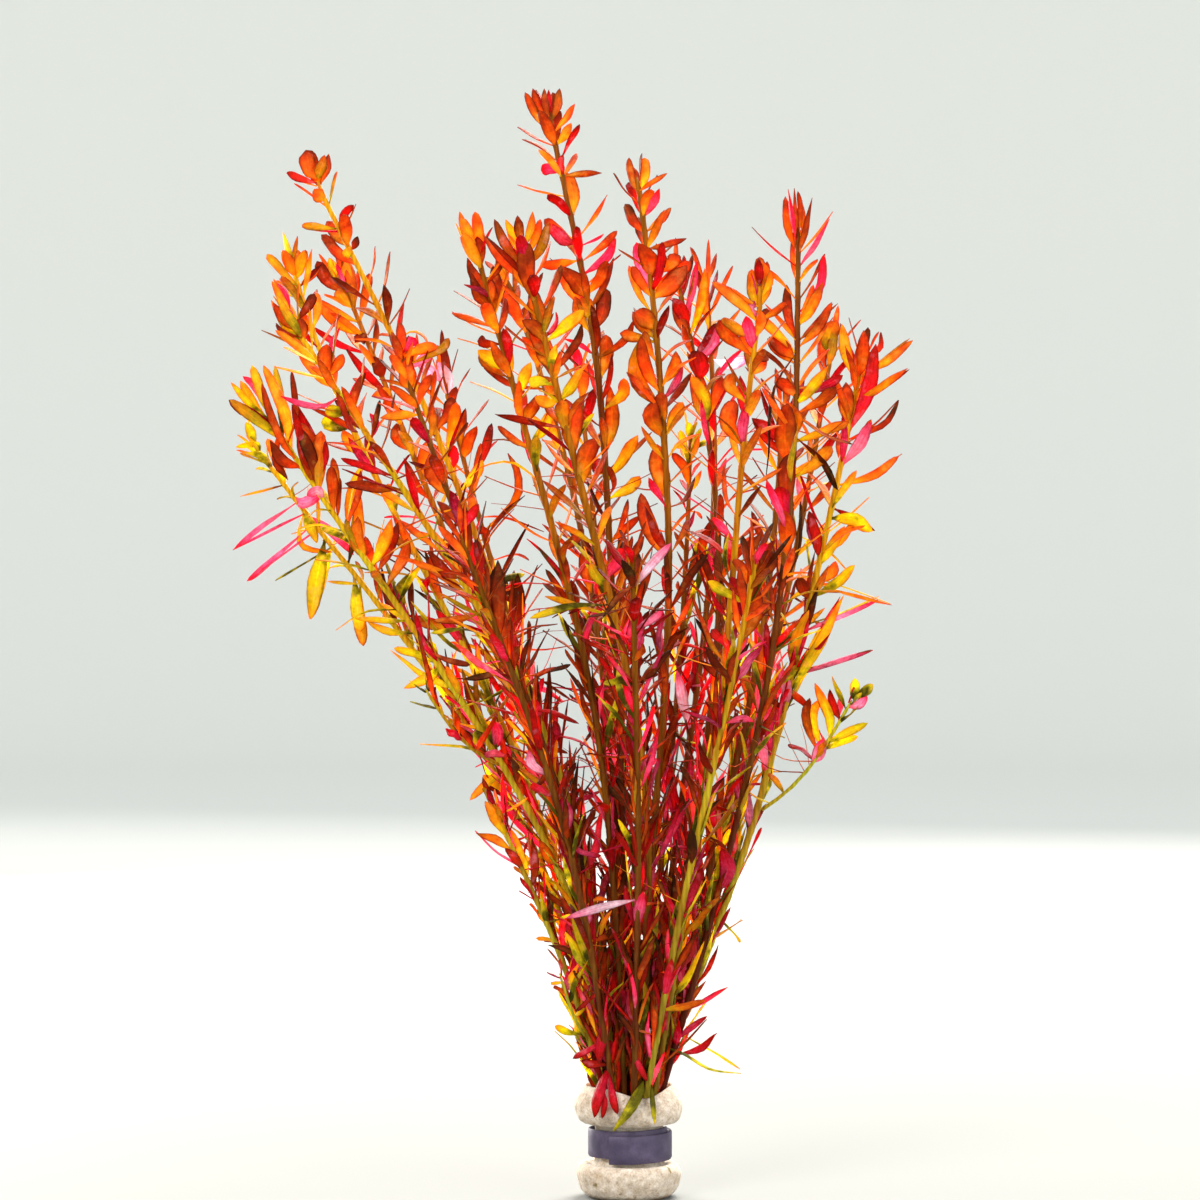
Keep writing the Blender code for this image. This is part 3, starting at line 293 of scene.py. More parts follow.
# Colours of the stems that aren't orange
TONES = {
    "stem_03": "gold", "stem_05": "gold", "stem_06": "gold", "stem_07": "gold", "stem_12": "gold",
    "stem_11": "crimson", "stem_17": "crimson", "stem_22": "red", "stem_16": "red", "stem_24": "crimson",
    "stem_13": "red", "stem_18": "red", "stem_23": "red", "stem_25": "red", "stem_15": "green",
    "stem_26": "gold", "side_shoot_01": "green", "side_shoot_02": "gold", "side_shoot_03": "green",
}


def turned(first, second, angle):
    """The direction at this angle from the first one towards the second."""
    return first * math.cos(angle) + second * math.sin(angle)


def sight_at(point):
    """The direction in which the camera sees a point."""
    return Vector((point.x - SIGHT_X, point.y + SIGHT_DISTANCE, point.z - SIGHT_HEIGHT)).normalized()


def seen(x, z, depth):
    """The point at this depth that lines up, from the front, with (x, z) on the middle plane."""
    scale = 1 + depth / SIGHT_DISTANCE
    return Vector((SIGHT_X + (x - SIGHT_X) * scale, depth, SIGHT_HEIGHT + (z - SIGHT_HEIGHT) * scale))


def bore_radius(z):
    """Radius that the stems keep within at height z: in the foam, in its mouth and free above."""
    heights = (0, FOAM_BORE_TOP, FAN_HEIGHT, 2 * FAN_HEIGHT)
    free = 100.0
    return float(np.interp(z, heights, (FOAM_BORE_RADIUS, FOAM_BORE_RADIUS, FOAM_MOUTH_RADIUS, free)))


def first_runs():
    """Where every stem would pass each level if none were in its way."""
    levels = np.arange(STEM_FOOT, HIGHEST_LEVEL, LEVEL_STEP)
    runs = np.full((len(STEMS), len(levels), 2), np.nan)
    tips = []
    for i, (_, depth, _, _, run) in enumerate(STEMS):
        tip = seen(*run[0], depth)
        tips.append(tip)
        backs = [depth * max(z - DEPTH_START, 0) / (run[0][1] - DEPTH_START) for _, z in run]
        spread = Vector((run[-1][0], backs[-1]))
        reach = min(1.0, SPREAD_LIMIT / max(spread.length, 1e-6))
        foot = spread * reach * FOOT_SHARE
        mouth = spread * reach * MOUTH_SHARE
        points = [seen(x, z, back) for (x, z), back in zip(run, backs)][::-1]
        heights = [0, FOAM_BORE_TOP, MOUTH_HEIGHT] + [point.z for point in points]
        places = [tuple(foot), tuple(foot), tuple(mouth)] + [(point.x, point.y) for point in points]
        for axis in (0, 1):
            column = np.interp(levels, heights, [p[axis] for p in places])
            runs[i, :, axis] = np.where(levels < tip.z - 1.5, column, np.nan)
    return levels, runs, tips


def settle(levels, runs, radii):
    """Moves the stems apart at every level until each has room, keeping their runs smooth."""
    wanted = runs.copy()
    count = len(runs)
    bore = np.array([bore_radius(z) for z in levels])
    lone = np.eye(count, dtype=bool)[:, :, None]
    axis_stem = [stem[0] for stem in STEMS].index(AXIS_STEM)
    for turn in range(SETTLE_TURNS):
        slope = np.zeros(runs.shape[:2])
        slope[:, 1:] = np.linalg.norm(np.diff(runs, axis=1), axis=2) / LEVEL_STEP
        stretch = np.sqrt(1 + np.nan_to_num(slope) ** 2)
        own = radii * stretch
        apart = runs[:, None] - runs[None]
        distance = np.linalg.norm(apart, axis=3) + 1e-9
        short = np.maximum(own[:, None] + own[None] + STEM_CLEARANCE - distance, 0)
        short = np.where(lone | np.isnan(distance), 0, short)
        away = np.nan_to_num(apart) / np.nan_to_num(distance, nan=1)[..., None]
        runs = runs + np.nansum(away * short[..., None], axis=1) * PUSH_SHARE
        if turn < SMOOTHED_TURNS:
            pull = FIRM_PULL if turn < FIRM_TURNS else SOFT_PULL
            runs = runs + pull * (wanted - runs)
            middle = 0.5 * (runs[:, 2:] + runs[:, :-2])
            bend = STIFFNESS * (middle - runs[:, 1:-1])
            runs[:, 1:-1] += np.nan_to_num(bend)
        reach = np.linalg.norm(runs, axis=2)
        most = bore[None, :] - own - GAP - 0.1
        runs = runs * np.where(reach > most, most / np.maximum(reach, 1e-9), 1.0)[..., None]
        runs[axis_stem, levels < STRAIGHT_HEIGHT] = 0
    return runs


def radius_at(run, s):
    """Radius of the stem at distance s below its tip."""
    return run["radius"] * (TIP_TAPER + (1 - TIP_TAPER) * min(1.0, s / TAPER_REACH))


def run_of(points, radius, form, name):
    """A stem's centre line from the tip down, with the distance along it at each point."""
    points = np.array(points)[::-1]
    along = np.concatenate([[0], np.cumsum(np.linalg.norm(np.diff(points, axis=0), axis=1))])
    return {"name": name, "points": points, "along": along, "radius": radius, "form": form,
            "length": along[-1], "start": 0.0}


def point_at(run, s):
    """The stem's centre at distance s below its tip."""
    return Vector([float(np.interp(s, run["along"], run["points"][:, k])) for k in range(3)])


def frame_at(run, s):
    """Centre, upward direction and two side directions of the stem at distance s below its tip."""
    up = (point_at(run, max(s - 4, 0)) - point_at(run, min(s + 4, run["length"]))).normalized()
    side = Vector((1, 0, 0)) - up * up.x
    side.normalize()
    first = turned(side, up.cross(side), run["start"] + TWIST_PER_MM * s)
    return point_at(run, s), up, first, up.cross(first)


def face_direction(run, s, face):
    """Outward direction of one of the stem's four sides."""
    _, _, first, second = frame_at(run, s)
    return turned(first, second, math.radians(90 * face))


def all_runs():
    """The settled centre lines of every stem, and of the shoots that fork off them."""
    levels, runs, tips = first_runs()
    radii = np.array([stem[2] for stem in STEMS])[:, None] * np.ones(len(levels))[None]
    runs = settle(levels, runs, radii)
    made = {}
    for i, (name, _, radius, form, _) in enumerate(STEMS):
        points = [(x, y, z) for (x, y), z in zip(runs[i], levels) if not np.isnan(x)]
        points.append(tuple(tips[i]))
        made[name] = run_of(points, radius, form, name)
    for name, parent, height, depth, tip, radius in SHOOTS:
        stem = made[parent]
        s = float(np.interp(-height, -stem["points"][:, 2], stem["along"]))
        end = seen(*tip, depth)
        root = point_at(stem, s)
        toward = Vector((end.x - root.x, end.y - root.y, 0)).normalized()
        start = root + toward * (stem["radius"] + radius + GAP) + Vector((0, 0, 0.5))
        span = end - start
        points = []
        for step in range(SHOOT_STEPS + 1):
            t = step / SHOOT_STEPS
            sag = Vector((0, 0, SHOOT_SAG * span.length * math.sin(math.pi * t)))
            points.append(tuple(start + span * t - sag))
        made[name] = run_of(points, radius, "small", name)
    for k, run in enumerate(made.values()):
        run["start"] = START_TURN * k
    return made


def node_distances(run):
    """Distances below the tip where leaves grow."""
    found = [s for s in FIRST_NODES if s < run["length"] - 6]
    s = FIRST_NODES[-1] + NODE_SPACING
    while s < run["length"] - 4 and point_at(run, s).z > LOWEST_LEAF:
        found.append(s)
        s += NODE_SPACING
    return found


def leaf_corners(run, s, face, middle, tip, width, grow=0.0):
    """The foot, middle and tip of a leaf that grows from one side of the stem."""
    centre, up, _, _ = frame_at(run, s)
    out = face_direction(run, s, face)
    across = up.cross(out)
    radius = radius_at(run, s)
    foot = centre + out * (radius * ROOT_DEPTH)
    along = (tip - foot).normalized()
    blade = across - along * across.dot(along)
    blade.normalize()
    flat = along.cross(blade)
    half_foot = radius * 0.5 + grow
    half_tall = 0.7
    half_wide = width / 2 + grow
    half_thick = LEAF_THICK / 2 + grow
    start = foot + along * (1.2 if grow else 0.0)
    base = [start + across * a * half_foot + up * b * half_tall for a, b in SQUARE]
    mid = [middle + blade * a * half_wide + flat * b * half_thick for a, b in SQUARE]
    return base + mid + [tip + along * grow]


SQUARE = ((-1, -1), (1, -1), (1, 1), (-1, 1))
LEAF_FACES = ((3, 2, 1, 0), (0, 1, 5, 4), (1, 2, 6, 5), (2, 3, 7, 6), (3, 0, 4, 7),
              (4, 5, 8), (5, 6, 8), (6, 7, 8), (7, 4, 8))


def leaf_tree(corners):
    """A leaf's faces, to test other leaves and stems against."""
    return BVHTree.FromPolygons([tuple(c) for c in corners], LEAF_FACES)


def ring_points(run, s, radius):
    """The four corners of the stem's section at distance s below the tip."""
    centre, _, first, second = frame_at(run, s)
    angles = [math.radians(45 + 90 * quarter) for quarter in range(4)]
    return [centre + turned(first, second, angle) * radius for angle in angles]


def ring_faces(steps, count, start=0):
    """The quads between closed rings of points, each ring with its number of steps after the first."""
    corners = [(start + k * count + q, start + k * count + (q + 1) % count)
               for k in range(steps) for q in range(count)]
    return [(a, a + count, b + count, b) for a, b in corners]


def stem_tree(run, grow):
    """The stem with a margin round it, to test leaves against."""
    steps = max(3, int(run["length"] / 6))
    points = []
    for k in range(steps + 1):
        s = run["length"] * (1 - k / steps)
        points += [tuple(p) for p in ring_points(run, s, radius_at(run, s) + grow)]
    faces = [(a, b, c, d) for a, d, c, b in ring_faces(steps, 4)]
    return BVHTree.FromPolygons(points, faces)


class Room:
    """The leaves of every stem, and the places taken, to test a new leaf against."""

    def __init__(self, runs):
        self.stems = {name: stem_tree(run, LEAF_CLEARANCE) for name, run in runs.items()}
        self.leaves = {name: [] for name in runs}
        self.taken = {name: {} for name in runs}
        self.trees = []
        self.lows = []
        self.highs = []

    def free(self, name, corners, crowded=False):
        """Whether a leaf keeps off the other stems and, unless the place is crowded, off the leaves."""
        tree = leaf_tree(corners)
        if any(tree.overlap(other) for stem, other in self.stems.items() if stem != name):
            return False
        low = np.min(corners, axis=0)
        high = np.max(corners, axis=0)
        if self.trees and not crowded:
            near = (np.array(self.lows) < high).all(axis=1) & (np.array(self.highs) > low).all(axis=1)
            if any(tree.overlap(self.trees[k]) for k in np.nonzero(near)[0]):
                return False
        return True

    def bare_sides(self, name, s):
        """The sides of a node that no leaf grows from yet."""
        return [face for face in range(4) if face not in self.taken[name].get(s, ())]

    def grow(self, name, leaf):
        """Gives a stem this leaf, on a side that has none."""
        self.leaves[name].append(leaf)
        self.taken[name].setdefault(leaf["s"], set()).add(leaf["face"])

    def add(self, corners):
        """Keeps a leaf's place for it."""
        self.trees.append(leaf_tree(corners))
        self.lows.append(np.min(corners, axis=0))
        self.highs.append(np.max(corners, axis=0))


def clear_of_foam(corners):
    """Whether a leaf keeps out of the sleeve."""
    return all(c.z > FAN_HEIGHT + 1.5 or math.hypot(c.x, c.y) > FOAM_UPPER_BULGE + 2 for c in corners)


def try_leaf(room, run, s, face, middle, tip, width):
    """Adds the leaf if nothing is in its way."""
    corners = leaf_corners(run, s, face, middle, tip, width, LEAF_CLEARANCE / 2)
    if not clear_of_foam(corners) or not room.free(run["name"], corners):
        return None
    room.add(corners)
    return {"s": s, "face": face, "middle": middle, "tip": tip, "width": width}


def nearest_node(run, spots, x, z):
    """The node of the stem closest to where a leaf is seen to grow."""
    def miss(s):
        """How far off the node looks, its height counting most."""
        point = point_at(run, s)
        scale = 1 + point.y / SIGHT_DISTANCE
        return abs(SIGHT_HEIGHT + (point.z - SIGHT_HEIGHT) / scale - z) + 0.3 * abs(
            SIGHT_X + (point.x - SIGHT_X) / scale - x)
    return min(spots, key=miss)


def place_seen_leaves(room, runs):
    """The leaves that stand out, each on the node and side that fit it best."""
    chance = random.Random(SEEN_SEED)
    rows = [(name, row[:2], row[2:4], row[4]) for name, found in LEAVES for row in found]
    for name, foot, tip, width in rows:
        run = runs[name]
        spots = [s for s in node_distances(run) if room.bare_sides(name, s)]
        if not spots:
            continue
        best = nearest_node(run, spots, *foot)
        done = None
        for s in sorted(spots, key=lambda spot: abs(spot - best))[:3]:
            centre = point_at(run, s)
            for back in DEPTH_STEPS:
                end = seen(*tip, centre.y + back + chance.uniform(-0.8, 0.8))
                pull = end - centre
                face = max(room.bare_sides(name, s), key=lambda f: face_direction(run, s, f).dot(pull))
                start = centre + face_direction(run, s, face) * radius_at(run, s)
                if (end - start).dot(face_direction(run, s, face)) < 0.3:
                    continue
                middle = start.lerp(end, LEAF_MIDDLE) + face_direction(run, s, face) * 0.06 * pull.length
                done = try_leaf(room, run, s, face, middle, end, width)
                if done:
                    break
            if done:
                break
        if done:
            done["faced"] = width > NARROW
            room.grow(name, done)


def leaf_size(run, s, z, chance):
    """Length, width and lean of a leaf by its place on the stem."""
    top_length, top_width, low_length, low_width = FORMS[run["form"]]
    blend = min(1.0, s / GROWN_REACH)
    length = top_length + (low_length - top_length) * blend
    width = top_width + (low_width - top_width) * blend
    young = min(1.0, 0.72 + s / YOUNG_REACH)
    lean = 14 + 30 * min(1.0, s / LEANING_REACH) + chance.uniform(-7, 9)
    if z < LOW_LEAVES_HEIGHT:
        lean = chance.choice(LOW_LEANS) + chance.uniform(-4, 4)
    return length * young * chance.uniform(0.86, 1.12), width * young * chance.uniform(0.88, 1.1), lean


def place_pair(room, run, index, s, chance):
    """A pair of opposite leaves on one node, turned a quarter from the pair above."""
    for face in ((index % 2), (index % 2) + 2):
        if face not in room.bare_sides(run["name"], s):
            continue
        centre, up, _, _ = frame_at(run, s)
        for attempt in range(PAIR_TRIES):
            out = face_direction(run, s, face)
            length, width, lean = leaf_size(run, s, centre.z, chance)
            aside = turned(out, up.cross(out), math.radians(chance.uniform(-12, 12) * (1 + attempt / 3)))
            length *= 1 - 0.05 * attempt
            way = turned(up, aside, math.radians(max(8, lean + chance.uniform(-3, 3) * attempt)))
            start = centre + out * radius_at(run, s) * ROOT_DEPTH
            middle = start + way * length * LEAF_MIDDLE
            bend = up * chance.uniform(-0.05, 0.12) * length
            tip = start + way * length + bend
            done = try_leaf(room, run, s, face, middle, tip, width)
            if done:
                room.grow(run["name"], done)
                break


def grow_leaves(runs):
    """The solids' own leaves, laid out just as they are there."""
    room = Room(runs)
    place_seen_leaves(room, runs)
    chance = random.Random(PAIR_SEED)
    for index in CARRIED_NODES:
        for name, run in runs.items():
            spots = node_distances(run)
            if index < len(spots) and len(room.taken[name]) < MOST_NODES:
                place_pair(room, run, index, spots[index], chance)
    return room


def foam_profile():
    """Half section of the sleeve: up the outside from the foot, over the rim and down the bore."""
    waist_low = STRIP_MIDDLE_HEIGHT - STRIP_WIDTH / 2 - WAIST_ROOM_BELOW
    waist_high = STRIP_MIDDLE_HEIGHT + STRIP_WIDTH / 2 + WAIST_ROOM_ABOVE
    outside = [
        (FOAM_FOOT_RADIUS, 0.0), (FOAM_LOWER_BULGE - 1.8, 1.2), (FOAM_LOWER_BULGE - 0.6, 3.6),
        (FOAM_LOWER_BULGE, 6.4), (FOAM_LOWER_BULGE - 0.6, 8.3),
        (FOAM_LOWER_BULGE - 2.0, waist_low - 0.4),
        (FOAM_WAIST_RADIUS, waist_low), (FOAM_WAIST_RADIUS, waist_high),
        (FOAM_UPPER_BULGE - 2.0, waist_high + 0.6),
        (FOAM_UPPER_BULGE - 0.4, waist_high + 2.2),
        (FOAM_UPPER_BULGE, waist_high + 4.8),
        (FOAM_UPPER_BULGE - 0.5, FOAM_HEIGHT - 3.2),
        (FOAM_RIM_RADIUS, FOAM_HEIGHT - 0.6),
        ((FOAM_RIM_RADIUS + FOAM_MOUTH_RADIUS) / 2, FOAM_HEIGHT),
    ]
    inside = [(FOAM_MOUTH_RADIUS, FOAM_HEIGHT - 0.4), (FOAM_BORE_RADIUS, FOAM_BORE_TOP),
              (FOAM_BORE_RADIUS, 0.0)]
    return outside + inside


def rim_dip(angle, height):
    """How far the sleeve is pressed down at the front of its rim."""
    turn = math.remainder(angle - RIM_DIP_ANGLE, 2 * math.pi)
    share = min(1.0, max(0.0, (height - RIM_DIP_START) / (FOAM_HEIGHT - RIM_DIP_START)))
    return RIM_DIP * share * math.exp(-(turn / RIM_DIP_REACH) ** 2)


def strip_place(turns):
    """Radius, angle and middle height of the strip's centre line, counted in turns from its inner end."""
    radius = FOAM_WAIST_RADIUS + GAP + STRIP_THICK / 2 + STRIP_PITCH * turns
    angle = STRIP_END_ANGLE + math.radians(360) * (STRIP_TURNS - turns)
    height = STRIP_MIDDLE_HEIGHT + STRIP_LAP_DROP * (STRIP_LAP_START - turns / STRIP_TURNS)
    return radius, angle, height


# Leaves that the solids leave out: they fill the nodes between, and narrow old ones crowd the low stems.
FILL_SEED = 57
FILL_TRIES = 6
TEST_MARGIN = 0.03
WILD_SHARE = 0.22
WILD_HEIGHT = 190.0
BARE_TOPS = {"stem_01": 34.0, "stem_05": 26.0}
CROWDED_HEIGHT = 150.0
LOWEST_OLD_LEAF = 23.0
OLD_LEAF_GAP = 2.6
OLD_LEAF_SHARE = 0.92
OLD_LENGTHS = (9, 19)
OLD_WIDTHS = (1.1, 2.5)
OLD_LEANS = (4, 34)
HANGING_SHARE = 0.12
HANGING_LEANS = (60, 150)
OLD_FACED_SHARE = 0.5
NEAR_SIDE_BARE = 0.75

# How far out the outer stems stand at each height, and how far past them a leaf may end
BUNCH_HEIGHTS = (24.0, 31.0, 60.0, 100.0, 150.0, 190.0)
BUNCH_REACHES = (8.5, 10.5, 18.0, 31.0, 58.0, 84.0)
STRAY = 2.5

# Fine roots
THREAD_SEED = 88
THREADS_A_STEM = 5
THREAD_HEIGHTS = (46, 205)
THREAD_SIDES = 4
THREAD_STATIONS = 9

# Leaves read off the photograph. Those that look narrow are wider ones seen nearly edge on.
PICKED_SEED = 71
NARROW = 2.1
EDGE_ON_WIDTH = 2.5
LOW_SLIM = 0.85
TRACK_STEP = 0.8
HIDDEN_FOOT = 30
# What makes a stem an unlikely bearer of a leaf: its distance past the near one, and its depth
NEAR_STEM = 2.0
GAP_COST = 3
DEPTH_COST = 0.08

# Blades and stems
BLADE_STATIONS = 10
BLADE_THICK = 0.34
MARGIN_THICK = 0.07
STEM_SIDES = 10
STEM_STEP = 3.2
SHORTEST_STEP = 0.3
NODE_STATIONS = (-1.3, -0.5, 0.5, 1.3)
NODE_REACH = 0.7
TIP_REACH = 3.0
# How much a faced leaf turns to the camera, and how much of its own way it keeps
FACING_SHARE = 0.8
OWN_WAY_SHARE = 0.2

